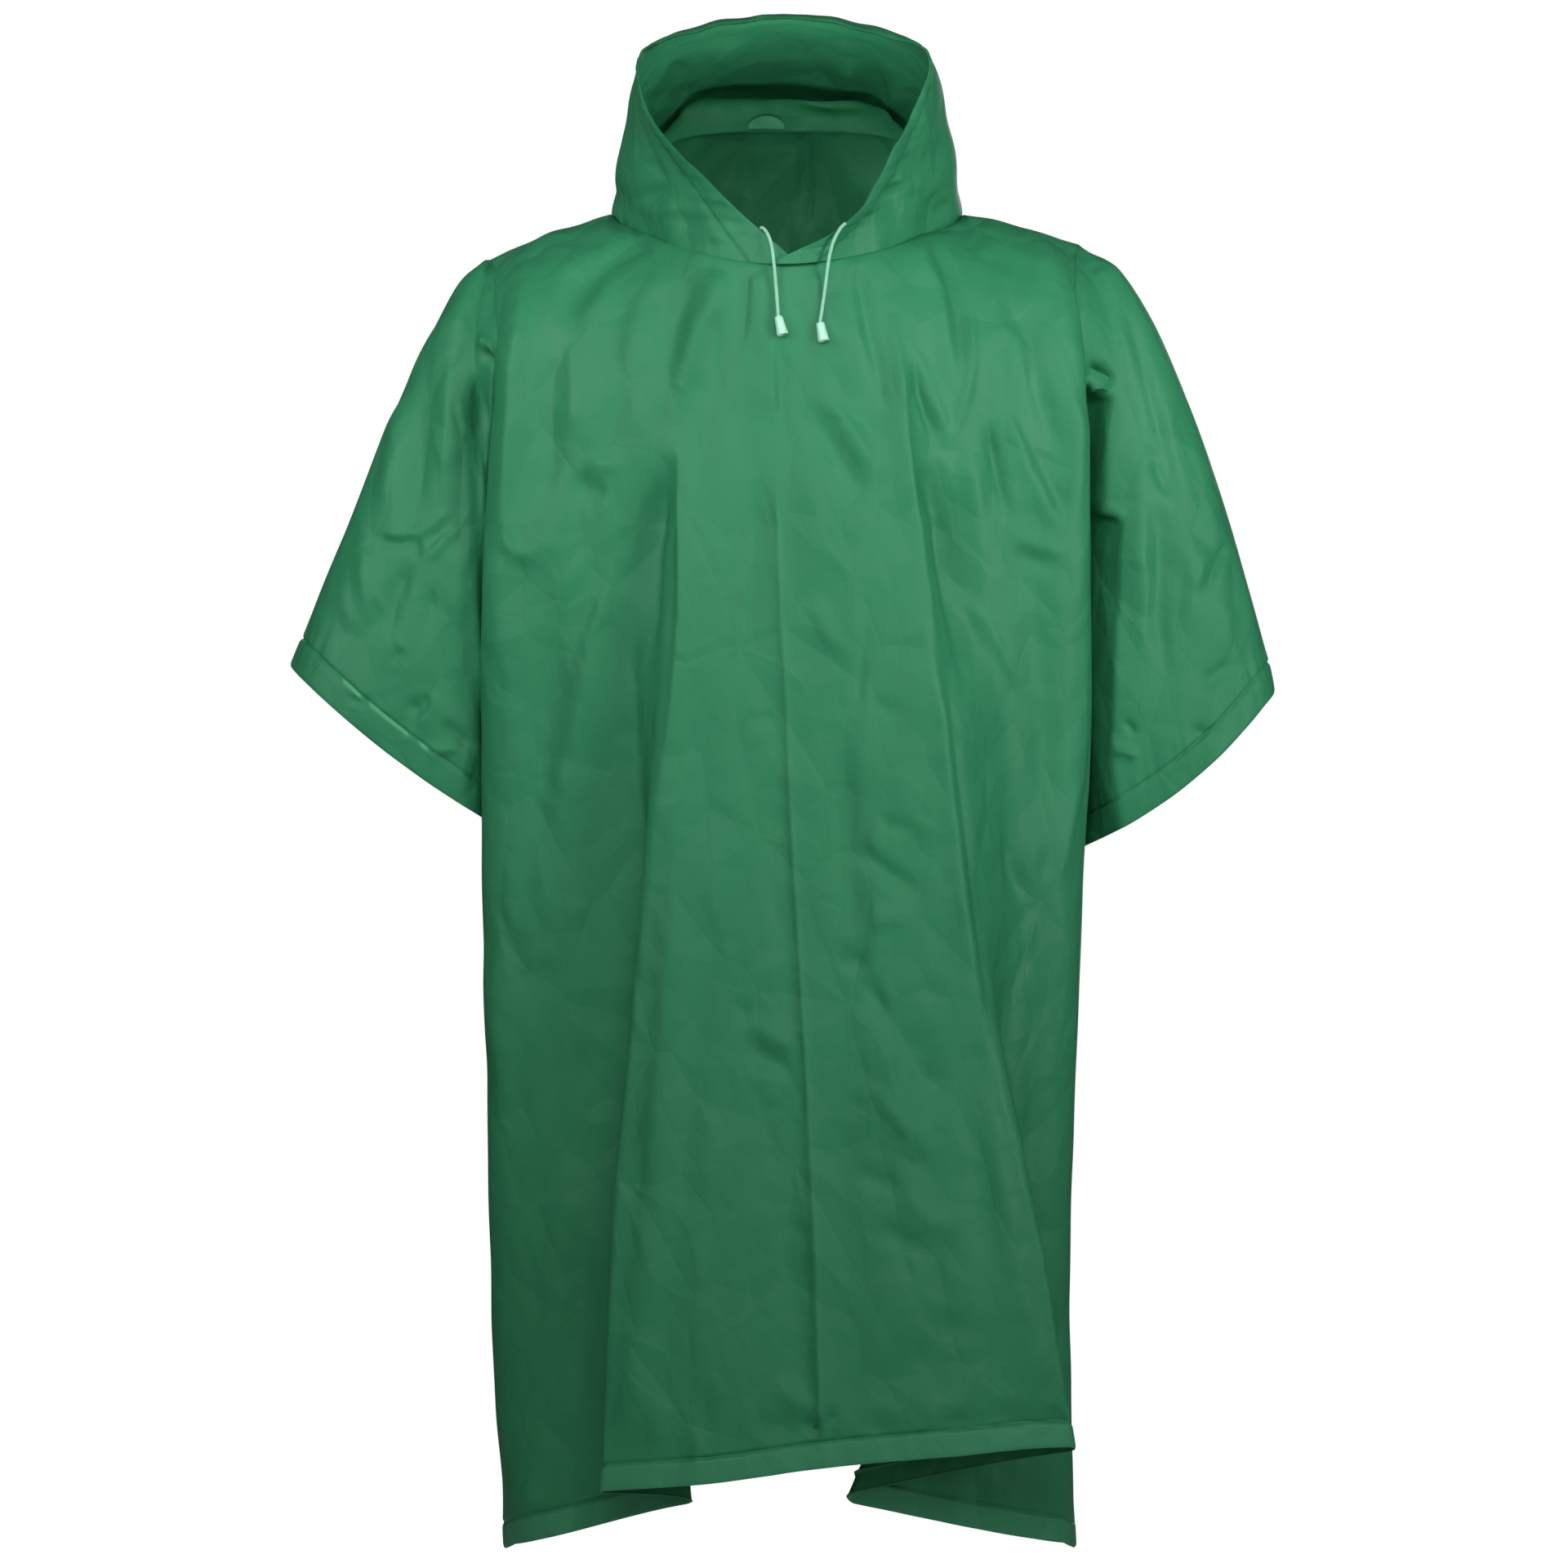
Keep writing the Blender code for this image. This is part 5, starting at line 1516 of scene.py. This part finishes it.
SLEEVE_LEFT_FOLDS = (
    Fold(((277, -60), (288, -90), (298, -120), (306, -150), (316, -190), (326, -225), (335, -250),
          (344, -272)), -3.5, 6, 11, 1.8, 0.3),
    Fold(((262, -40), (274, -75), (285, -110), (294, -140)), 3, 9, 8, 1.7, 0.1),
    Fold(((252, -140), (264, -143), (276, -148)), 5, 4, 4, 1.6, 0.2, 0.2),
    Fold(((253, -124), (264, -133), (276, -139)), -5, 5, 3, 1.8, 0.2, 0.2),
    Fold(((262, -244), (272, -246), (283, -252)), 4, 4, 3, 1.6, 0.2, 0.2),
    Fold(((304, -200), (314, -215), (322, -236)), -3, 5, 7),
    Fold(((310, -235), (313, -280), (312, -330), (318, -380), (326, -398)), -4, 8, 8),
    Fold(((330, -250), (338, -300), (334, -355)), 3, 9, 8, 1.7),
    Fold(((292, -170), (297, -240), (298, -320), (296, -400)), 3.5, 9, 9, 1.7),
    Fold(((374, -266), (363, -285), (356, -303), (348, -320)), -3, 3, 4, 1.6),
    Fold(((353, -273), (346, -294), (340, -316)), 2.5, 5, 4, 1.6),
    Fold(((343, -396), (362, -382), (380, -368)), -3, 8, 6),
    Fold(((282, -418), (289, -427), (295, -433)), -2.5, 4, 4),
    Fold(((272, -442), (282, -446), (298, -451)), 3.5, 4, 4, 1.6),
    Fold(((335, -424), (350, -430), (366, -425)), -2, 4, 5),
    Fold(((368, -320), (372, -345), (366, -366)), 2, 9, 9),
)
# ranges of u in mm of painted highlights on the right cuff's weld line
RIGHT_PAINTED_GLINTS = ((-369, -351), (-347, -312), (-305, -296))


# ----------------------------------------------------------------------- hood
# foot angle, then low, side, corner, brow and crown of each section, rim first
RIM_RIGHT = (-5, (0.052, -0.1440, 0.0026), (0.1030, -0.122, 0.0590), (0.1180, -0.085, 0.1165),
             (0.0863, -0.100, 0.1350), (0.0, -0.120, 0.1466))
RIM_LEFT = (-5, (0.0525, -0.1500, -0.0205), (0.0923, -0.130, 0.0476), (0.1186, -0.085, 0.1165),
            (0.0863, -0.100, 0.1335), (0.0, -0.120, 0.1466))
HOOD_SECTIONS = (
    (38, (0.106, -0.094, 0.016), (0.123, -0.078, 0.070), (0.124, -0.054, 0.118),
     (0.086, -0.058, 0.1460), (0.0, -0.066, 0.1580)),
    (72, (0.141, -0.032, 0.030), (0.136, -0.022, 0.072), (0.124, -0.008, 0.113),
     (0.082, -0.004, 0.1480), (0.0, -0.004, 0.1630)),
    (98, (0.142, 0.026, 0.044), (0.136, 0.042, 0.075), (0.116, 0.058, 0.108),
     (0.072, 0.064, 0.1400), (0.0, 0.068, 0.1570)),
    (118, (0.134, 0.068, 0.062), (0.126, 0.094, 0.074), (0.100, 0.118, 0.090),
     (0.058, 0.128, 0.1160), (0.0, 0.134, 0.1310)),
    (132, (0.116, 0.090, 0.073), (0.108, 0.116, 0.068), (0.086, 0.144, 0.066),
     (0.046, 0.160, 0.0800), (0.0, 0.168, 0.0880)),
    (141, (0.103, 0.098, 0.084), (0.093, 0.117, 0.080), (0.070, 0.136, 0.070),
     (0.036, 0.148, 0.0670), (0.0, 0.152, 0.0660)),
    (147, (0.094, 0.099, 0.093), (0.079, 0.110, 0.098), (0.056, 0.118, 0.095),
     (0.028, 0.124, 0.0920), (0.0, 0.127, 0.0910)),
    (152, (0.084, 0.098, 0.098), (0.067, 0.104, 0.108), (0.046, 0.108, 0.111),
     (0.023, 0.110, 0.1120), (0.0, 0.111, 0.1125)))
HOOD_LAST_ANGLES = (156, 161, 166, 171, 176, 180)
HOOD_RIGHT_FOLDS = (
    Fold(((-122, 12), (-108, 19), (-92, 28)), -2.5, 6, 7),
    Fold(((-118, 0), (-98, 7), (-72, 8)), 2.2, 6, 7, 1.8),
    Fold(((-92, -9), (-76, -6), (-62, 0)), -2, 5, 5),
    Fold(((-66, -15), (-50, -16), (-38, -10)), 2, 5, 5),
    Fold(((-130, 60), (-122, 30), (-112, 10)), 1.6, 9, 8),
    Fold(((-112, 50), (-104, 36), (-96, 28)), -2, 5, 5),
    Fold(((-138, 30), (-134, 10), (-126, -4)), -1.6, 6, 6),
)
HOOD_LEFT_FOLDS = (
    Fold(((78, 8), (87, 18), (98, 22)), -2.5, 6, 6),
    Fold(((92, 42), (98, 28), (104, 14)), 2.2, 5, 6, 1.8),
    Fold(((106, 36), (117, 26), (128, 16)), 2.2, 8, 8),
    Fold(((62, -18), (66, -6), (70, 6)), -2, 4, 5),
    Fold(((110, 90), (118, 70), (126, 50)), 1.6, 8, 8),
    Fold(((120, -2), (131, 6), (141, 14)), -1.8, 6, 6),
    Fold(((88, 60), (96, 72), (103, 86)), 1.6, 5, 5),
)
# seen through the face opening; outward is away from the camera there
HOOD_INSIDE_FOLDS = (
    Fold(((-116, 95), (-98, 98), (-81, 101), (-42, 104), (-26, 102), (-5, 93)), 4, 5, 4, 1.6, 0.1),
    Fold(((-112, 88), (-70, 91), (-30, 90), (-2, 84)), -3, 8, 8),
    Fold(((-1, 95), (34, 92), (74, 87)), 3, 4, 4, 1.7),
    Fold(((4, 84), (40, 80), (80, 80)), -2.5, 7, 7),
    Fold(((0, 138), (2, 122), (2, 108)), -3, 10, 10),
    Fold(((-64, 133), (-50, 131), (-34, 128)), -2.5, 5, 5),
    Fold(((-60, 140), (-36, 137), (-10, 142)), -2.5, 5, 5),
    Fold(((-90, 128), (-84, 112), (-78, 104)), 3, 12, 12),
    Fold(((30, 128), (32, 116), (30, 106)), 2.5, 10, 10),
    Fold(((50, 130), (56, 120), (54, 112)), -2, 6, 6),
    Fold(((78, 124), (74, 108), (66, 92)), 3.5, 12, 10),
    Fold(((98, 120), (94, 100), (82, 84)), -3, 10, 10),
    Fold(((-92, 135), (-69, 142), (-42, 147), (-3, 149), (21, 142), (48, 147), (78, 140),
          (115, 126)), 1.6, 2.2, 1.6, 1.4, 0.1, 0.1),
    Fold(((-72, 137), (-50, 143), (-20, 144)), -1.2, 2.5, 2.5, 1.5),
    Fold(((-40, 141), (-24, 136), (-4, 141)), 1.5, 3, 3, 1.6),
    Fold(((24, 146), (34, 140), (50, 142)), 1.4, 3, 3, 1.6),
    Fold(((60, 142), (80, 134), (100, 128)), 1.6, 3, 4, 1.6),
    Fold(((-100, 128), (-88, 124), (-80, 116)), 2.0, 5, 6, 1.7),
)


@dataclass
class HoodHalf:
    """One half of the hood, from the face opening back to the nape."""

    side: Side
    rim: Section
    folds: tuple[Fold, ...]
    width: float                # factor on x behind the rim
    overlap: float              # how far its foot laps in front of the other half
    casing_start: int           # first column of the cord channel's inner wall
    cut: Cut = Cut(0.42, 0.36, 0.078)
    relief: float = 1.3
    waves: Waves = Waves(10, 0.05, 0.09)
    wave_height: float = 0.0006
    lift: float = 0.0004        # height of the foot above the neckline
    rim_place: float = 0.6      # the rows are closer together up to this place
    lap_x: Pair = (0.056, 0.025)        # where the foot laps over: x and run, place and run
    lap_place: Pair = (1.0, 0.6)
    roof_y: Pair = (0.010, 0.030)       # where the inside is seen: past a y or a z, and run
    roof_z: Pair = (0.112, 0.014)
    calm: float = 0.02          # folds fade this near to the edges
    # the cord channel: last place, length, height, puckers and how they fade behind it
    casing_place: float = 0.38
    casing_length: float = 0.42
    casing_height: float = 0.0017
    casing_puckers: Waves = Waves(9, 0.020)
    casing_gather: float = 0.18
    casing_weld: float = 0.0009
    casing_creases: float = 0.0005
    casing_fade: float = 0.22
    casing_layer: float = -0.0012
    rim_rows: int = 22
    rows: int = 100
    columns: int = 96
    seed: int = 21
    places: Array = field(init=False, repr=False)

    def _grid(self) -> Array:
        """Grid without its puckers and folds, from the rim back to the nape.

        Returns:
            Rows by columns by 3.
        """
        raise_all = np.array([0.0, 0.0, self.lift])
        feet, table = [], []
        for number, part in enumerate((self.rim,) + HOOD_SECTIONS):
            width = self.side.value * (self.width if number else 1.0)
            feet.append(part[0])
            table.append(np.array(part[1:]) * [width, 1.0, 1.0])
        feet.append(HOOD_LAST_ANGLES[0])
        last_row = self.side.value * np.array(HOOD_LAST_ANGLES[1:], float)
        table.append(neck_points(last_row) + raise_all)
        rim_rows = np.linspace(0.0, self.rim_place, self.rim_rows, endpoint=False)
        self.places = np.concatenate([rim_rows, np.linspace(self.rim_place, len(table) - 1.0,
                                                            self.rows - self.rim_rows)])
        angles = smooth(np.array(feet, float)[:, None], self.places)[:, 0]
        foot = neck_points(self.side.value * angles) + raise_all
        guides = smooth(np.stack(table), self.places)
        mirrored = guides[:, 3:4] * [-1.0, 1.0, 1.0]
        across = np.concatenate([foot[:, None], guides, mirrored], axis=1).transpose(1, 0, 2)
        knots = np.linspace(0.0, 5.0, self.columns)
        grid = smooth(across, knots).transpose(1, 0, 2)
        if self.overlap:
            middle = np.clip((self.lap_x[0] - grid[..., 0]) / self.lap_x[1], 0.0, 1.0)
            rim = np.clip((self.lap_place[0] - self.places) / self.lap_place[1], 0.0, 1.0)[:, None]
            grid[..., 1] -= self.overlap * middle * rim * (knots < 3.0)[None]
        grid[:, -1, 0] = 0.0
        return grid

    def _casing_relief(self, film: Film) -> Array:
        """Channel for the cord along the face opening, drawn into puckers.

        Args:
            film: the half.

        Returns:
            Height at each point, metres.
        """
        share = np.clip(self.places / self.casing_place, 0.0, 1.0)[:, None]
        rest = np.zeros(film.points.shape[:2])
        run = np.linspace(0.0, self.casing_length, film.points.shape[1])[None]
        pucker = self.casing_puckers.at(self.seed + 3, run + rest, rest)
        belly = self.casing_height * np.sin(np.pi * share) ** 0.6
        behind = (self.places[:, None] - self.casing_place) / self.casing_fade
        outside = np.exp(-np.clip(behind, 0.0, 9.0))
        return (belly * (1.0 + self.casing_gather * pucker)
                + (self.casing_creases * pucker - self.casing_weld) * outside * (share >= 1.0))

    def build(self, paints: Paints) -> list[Piece]:
        """The half with its puckers and folds, and the inner wall of its cord channel.

        Args:
            paints: the poncho's materials.

        Returns:
            The two pieces.
        """
        film = Film(self._grid(), False, -float(self.side.value))
        u, v = film.on_view()
        behind = np.maximum(ease((film.points[..., 1] - self.roof_y[0]) / self.roof_y[1]),
                            ease((film.points[..., 2] - self.roof_z[0]) / self.roof_z[1]))
        height = self.relief * lift_of(self.folds, u, v) * (1.0 - behind)
        height += self.relief * lift_of(HOOD_INSIDE_FOLDS, u, v) * behind
        height += self.wave_height * self.waves.at(self.seed, u, v)
        height *= ease(film.from_sides() / self.calm) * ease(film.from_edge() / self.calm)
        film.raise_by(height + self._casing_relief(film))
        last_row = int(np.searchsorted(self.places, self.casing_place))
        wall = film.strip(slice(0, last_row + 1), self.casing_layer)
        wall.points = wall.points[:, self.casing_start:]
        wall.paleness_and_highlight = wall.paleness_and_highlight[:, self.casing_start:]
        word = self.side.word
        return hang(film, wall, ("hood_" + word, "hood_casing_" + word),
                    ("hood_film_" + word, "cord_channel_" + word), paints)


# --------------------------------------------------------------- cords and tab
CORD_RIGHT = ((-0.0186, -0.1483, -0.0261), (-0.0168, -0.1500, -0.0268), (-0.0147, -0.1524, -0.0292),
              (-0.0123, -0.1546, -0.0338), (-0.0104, -0.1562, -0.0400), (-0.0091, -0.1570, -0.0470),
              (-0.0082, -0.1575, -0.0545), (-0.0074, -0.1578, -0.0630), (-0.0066, -0.1580, -0.0720),
              (-0.0058, -0.1585, -0.0820), (-0.0052, -0.1593, -0.0905), (-0.0046, -0.1605, -0.0985))
CORD_LEFT = ((0.0490, -0.1534, -0.0234), (0.0474, -0.1550, -0.0249), (0.0452, -0.1563, -0.0276),
             (0.0421, -0.1572, -0.0326), (0.0393, -0.1572, -0.0390), (0.0370, -0.1577, -0.0470),
             (0.0354, -0.1580, -0.0560), (0.0342, -0.1580, -0.0650), (0.0330, -0.1581, -0.0745),
             (0.0317, -0.1584, -0.0840), (0.0303, -0.1590, -0.0935), (0.0288, -0.1599, -0.1035))


@dataclass
class CordEnd:
    """Free end of the drawcord with its bell-shaped end piece."""

    side: Side
    route: tuple[Triple, ...]
    lean: Triple
    length: float
    diameter: float = 0.0028
    cord_points: int = 41
    stopper_length: float = 0.0155
    # share of the length and radius, down the outside and up the hollow
    outside: tuple[Pair, ...] = ((0.0, 0.0010), (0.0, 0.0026), (0.035, 0.0033), (0.10, 0.0035),
                                 (0.45, 0.0038), (0.90, 0.0046), (0.97, 0.00475), (1.0, 0.0045))
    inside: tuple[Pair, ...] = ((1.0, 0.0038), (0.95, 0.0036), (0.55, 0.0030), (0.52, 0.0010))
    stopper_sides: int = 40
    stopper_bite: float = 0.0002        # how far the end piece reaches over the cord's end

    def _cord(self, material: Material) -> Piece:
        """Bevelled curve along the route.

        Args:
            material: its finish.

        Returns:
            The piece.
        """
        last = len(self.route) - 1
        points = smooth(np.array(self.route), np.linspace(0, last, self.cord_points))
        data = bpy.data.curves.new("cord_" + self.side.word, "CURVE")
        data.dimensions = "3D"
        data.bevel_depth = self.diameter / 2
        data.bevel_resolution = 5
        data.use_fill_caps = True
        spline = data.splines.new("POLY")
        spline.points.add(len(points) - 1)
        for place, point in zip(spline.points, points):
            place.co = (*point, 1.0)
        return into_scene(data.name, data, material)

    def _stopper(self, material: Material) -> Piece:
        """Bell turned about its own leaning axis, open below.

        Args:
            material: its finish.

        Returns:
            The piece.
        """
        sides = self.stopper_sides
        axis = Vector(self.lean).normalized()
        across = axis.cross(Vector((0.0, 1.0, 0.0))).normalized()
        front = axis.cross(across)
        start = Vector(self.route[-1]) - axis * self.stopper_bite
        vertices, faces = [], []
        rings = self.outside + self.inside
        for along, radius in rings:
            centre = start + axis * (self.stopper_length * along)
            for i in range(sides):
                angle = 2.0 * math.pi * i / sides
                vertices.append(centre + (across * math.cos(angle)
                                          + front * math.sin(angle)) * radius)
        for first in range(0, (len(rings) - 1) * sides, sides):
            for i in range(sides):
                j = (i + 1) % sides
                faces.append((first + i, first + j, first + sides + j, first + sides + i))
        faces.append(tuple(range(sides))[::-1])
        faces.append(tuple((len(rings) - 1) * sides + i for i in range(sides)))
        mesh = bpy.data.meshes.new("cord_end_" + self.side.word)
        mesh.from_pydata([tuple(v) for v in vertices], [], faces)
        mesh.shade_smooth()
        mesh.set_sharp_from_angle(angle=math.radians(50.0))
        piece = into_scene(mesh.name, mesh, material)
        bevel = piece.modifiers.new("soft rims", "SUBSURF")
        bevel.levels = bevel.render_levels = 1
        return piece

    def build(self, paints: Paints) -> list[Piece]:
        """The cord and its end piece.

        Args:
            paints: the poncho's materials.

        Returns:
            The two pieces.
        """
        word = self.side.word
        cord = place_piece(self._cord(paints.cord), "drawcord_" + word)
        stopper = place_piece(self._stopper(paints.moulded), "cord_stopper_" + word)
        return [cord, stopper]


@dataclass
class HangingTab:
    """Half-round tab that stands on the nape seam, inside the hood."""

    half_width: float = 0.0155
    height: float = 0.0105
    middle_x: float = -0.0150
    foot_lift: float = 0.0021
    stand_off: float = 0.0018
    lean: float = 0.10
    curl: float = 0.0006
    thickness: float = 0.0009
    degrees_per_metre: float = 350.0    # along the neckline at the nape
    roundness: float = 1.04             # 1 for an edge that comes down to the foot
    rows: int = 16
    columns: int = 41

    def build(self, paints: Paints) -> list[Piece]:
        """The tab, from its round edge down to its foot.

        Args:
            paints: the poncho's materials.

        Returns:
            The piece.
        """
        across = np.linspace(-1.0, 1.0, self.columns)
        x = self.middle_x + self.half_width * across
        base = neck_points(180.0 - x * self.degrees_per_metre)
        rows = []
        for share in np.linspace(1.0, 0.0, self.rows):
            height = self.foot_lift + self.height * share * np.sqrt(
                np.maximum(0.0, self.roundness - across ** 2))
            wave = self.curl * np.sin(3.0 * across + 2.0 * share)
            rows.append(np.stack([x, base[:, 1] - self.stand_off - self.lean * height + wave,
                                  base[:, 2] + height], axis=1))
        tab = Film(np.stack(rows), False, -1.0).make("nape_tab", paints.tab, self.thickness)
        return [place_piece(tab, "hanging_tab")]


# --------------------------------------------------------------------- studio
@dataclass(frozen=True)
class Lamp:
    """Square soft light aimed at a point, with a spread in degrees."""

    name: str
    place: Triple
    aim: Triple
    size: float
    power: float
    spread: float = 180.0

    def hang(self) -> None:
        """Put the lamp into the scene, unseen itself."""
        data = bpy.data.lights.new(self.name, "AREA")
        data.size = self.size
        data.energy = self.power
        data.spread = math.radians(self.spread)
        lamp = into_scene(self.name, data)
        lamp.location = self.place
        heading = Vector(self.aim) - Vector(self.place)
        lamp.rotation_euler = heading.to_track_quat("-Z", "Y").to_euler()
        lamp.visible_camera = False


@dataclass
class Studio:
    """Camera, pale floor, soft lights and a white surround."""

    floor_z: float = -1.45
    floor_radius: float = 1.9
    floor_sides: int = 96
    ambient: float = 0.07
    lamps: tuple[Lamp, ...] = (
        Lamp("key", (0.30, -2.60, 0.95), (0.0, -0.10, -0.40), 1.0, 20.6),
        Lamp("second key", (-0.50, -2.50, 0.60), (0.05, -0.10, -0.75), 1.0, 11.0),
        Lamp("right shoulder", (-1.25, -1.35, 0.40), (-0.22, -0.04, -0.08), 0.50, 0.86, 40.0),
        Lamp("left shoulder", (1.30, -1.25, 0.35), (0.20, -0.06, 0.00), 0.50, 0.80, 40.0),
        Lamp("right side", (-1.60, -1.30, -0.10), (-0.20, -0.04, -0.30), 0.70, 0.55, 60.0),
        Lamp("left side", (1.60, -1.40, -0.30), (0.20, -0.04, -0.38), 0.70, 1.9, 60.0),
        Lamp("throat", (0.0, -1.20, -0.63), (0.0, 0.01, 0.13), 0.18, 0.005, 15.0),
        Lamp("hood", (0.0, -0.04, 0.01), (0.0, -0.01, 0.16), 0.05, 0.125, 120.0),
        Lamp("hood front", (0.0, -0.30, 0.075), (0.0, 0.14, 0.135), 0.05, 0.004, 32.0),
        Lamp("back", (0.3, 2.6, -0.1), (0.0, 0.0, -0.5), 1.6, 30.0))

    def camera(self) -> None:
        """Level camera in front."""
        data = bpy.data.cameras.new("camera")
        data.sensor_width = SENSOR_MM
        data.lens = SENSOR_MM * -CAMERA[1] / VIEW_WIDTH
        data.clip_start, data.clip_end = 0.05, 60.0
        camera = into_scene("camera", data)
        camera.location = CAMERA
        camera.rotation_euler = (math.radians(90.0), 0.0, 0.0)
        bpy.context.scene.camera = camera

    def _floor(self) -> None:
        """Round pale floor."""
        mesh = bpy.data.meshes.new("floor")
        turns = [2 * math.pi * i / self.floor_sides for i in range(self.floor_sides)]
        ring = [(self.floor_radius * math.cos(turn), self.floor_radius * math.sin(turn),
                 self.floor_z) for turn in turns]
        mesh.from_pydata(ring, [], [tuple(range(self.floor_sides))])
        paint, _, shader = new_material("pale floor", 0.9, 1.4)
        shader.inputs["Base Color"].default_value = (0.80, 0.80, 0.80, 1.0)
        into_scene("floor", mesh, paint)

    def _surround(self) -> None:
        """World that looks white and lights only a little."""
        world = bpy.data.worlds.new("surround")
        bpy.context.scene.world = world
        world.use_nodes = True
        nodes = Nodes(world.node_tree)
        sky = world.node_tree.nodes["Background"]
        white = nodes.add("ShaderNodeBackground")
        for background, strength in ((sky, self.ambient), (white, 1.0)):
            background.inputs["Color"].default_value = WHITE
            background.inputs["Strength"].default_value = strength
        path = nodes.add("ShaderNodeLightPath")
        mix = nodes.add("ShaderNodeMixShader")
        nodes.link(path.outputs["Is Camera Ray"], mix.inputs[0])
        nodes.link(sky.outputs[0], mix.inputs[1])
        nodes.link(white.outputs[0], mix.inputs[2])
        nodes.link(mix.outputs[0], world.node_tree.nodes["World Output"].inputs["Surface"])

    def build(self) -> None:
        """Floor, lights, world and exposure."""
        self._floor()
        for lamp in self.lamps:
            lamp.hang()
        self._surround()
        bpy.context.scene.view_settings.view_transform = "Standard"


def main() -> None:
    """Build the studio and the poncho, and report each piece."""
    studio = Studio()
    studio.camera()
    front = BodyPanel(Face.FRONT, FRONT_GUIDES, FRONT_HEM, FRONT_BENDS, FRONT_FOLDS,
                      Cut(1.20, 1.12, 0.80), neck_angles=(-90, -54, -24, 0, 26, 56, 90),
                      steps=(12, 28, 20, 22, 22, 22, 26, 26, 26, 12), gather=0.5,
                      streaks=0.0006, hem_pale_and_lit=0.30, relief=1.3, seed=1)
    back = BodyPanel(Face.BACK, BACK_GUIDES, BACK_HEM, {}, BACK_FOLDS, Cut(1.05, 1.20, 0.78),
                     neck_angles=(-90, -132, -180, -228, -270),
                     steps=(14, 24, 24, 24, 24, 24, 24, 14), gather=0.3,
                     streaks=0.0009, hem_pale_and_lit=0.0, relief=1.0, seed=5)
    parts = (
        CordEnd(Side.RIGHT, CORD_RIGHT, lean=(0.0036, -0.0014, -0.0150), length=0.078),
        CordEnd(Side.LEFT, CORD_LEFT, lean=(0.0031, -0.0014, -0.0150), length=0.085),
        front, back,
        Sleeve(Side.RIGHT, SLEEVE_RIGHT, SLEEVE_RIGHT_FOLDS, Cut(0.90, 0.30, 0.158), front, back,
               painted_glints=RIGHT_PAINTED_GLINTS),
        Sleeve(Side.LEFT, SLEEVE_LEFT, SLEEVE_LEFT_FOLDS, Cut(0.90, 0.30, 0.184), front, back,
               recess=Recess()),
        HoodHalf(Side.RIGHT, RIM_RIGHT, HOOD_RIGHT_FOLDS, width=0.965, overlap=0.0,
                 casing_start=16),
        HoodHalf(Side.LEFT, RIM_LEFT, HOOD_LEFT_FOLDS, width=1.0, overlap=0.0053,
                 casing_start=24),
        HangingTab())
    paints = Paints()
    for part in parts:
        for piece in part.build(paints):
            LOG.info("%s is in place", piece.name)
    studio.build()


if __name__ == "__main__":
    logging.basicConfig(level=logging.INFO, format="%(name)s: %(message)s")
    main()
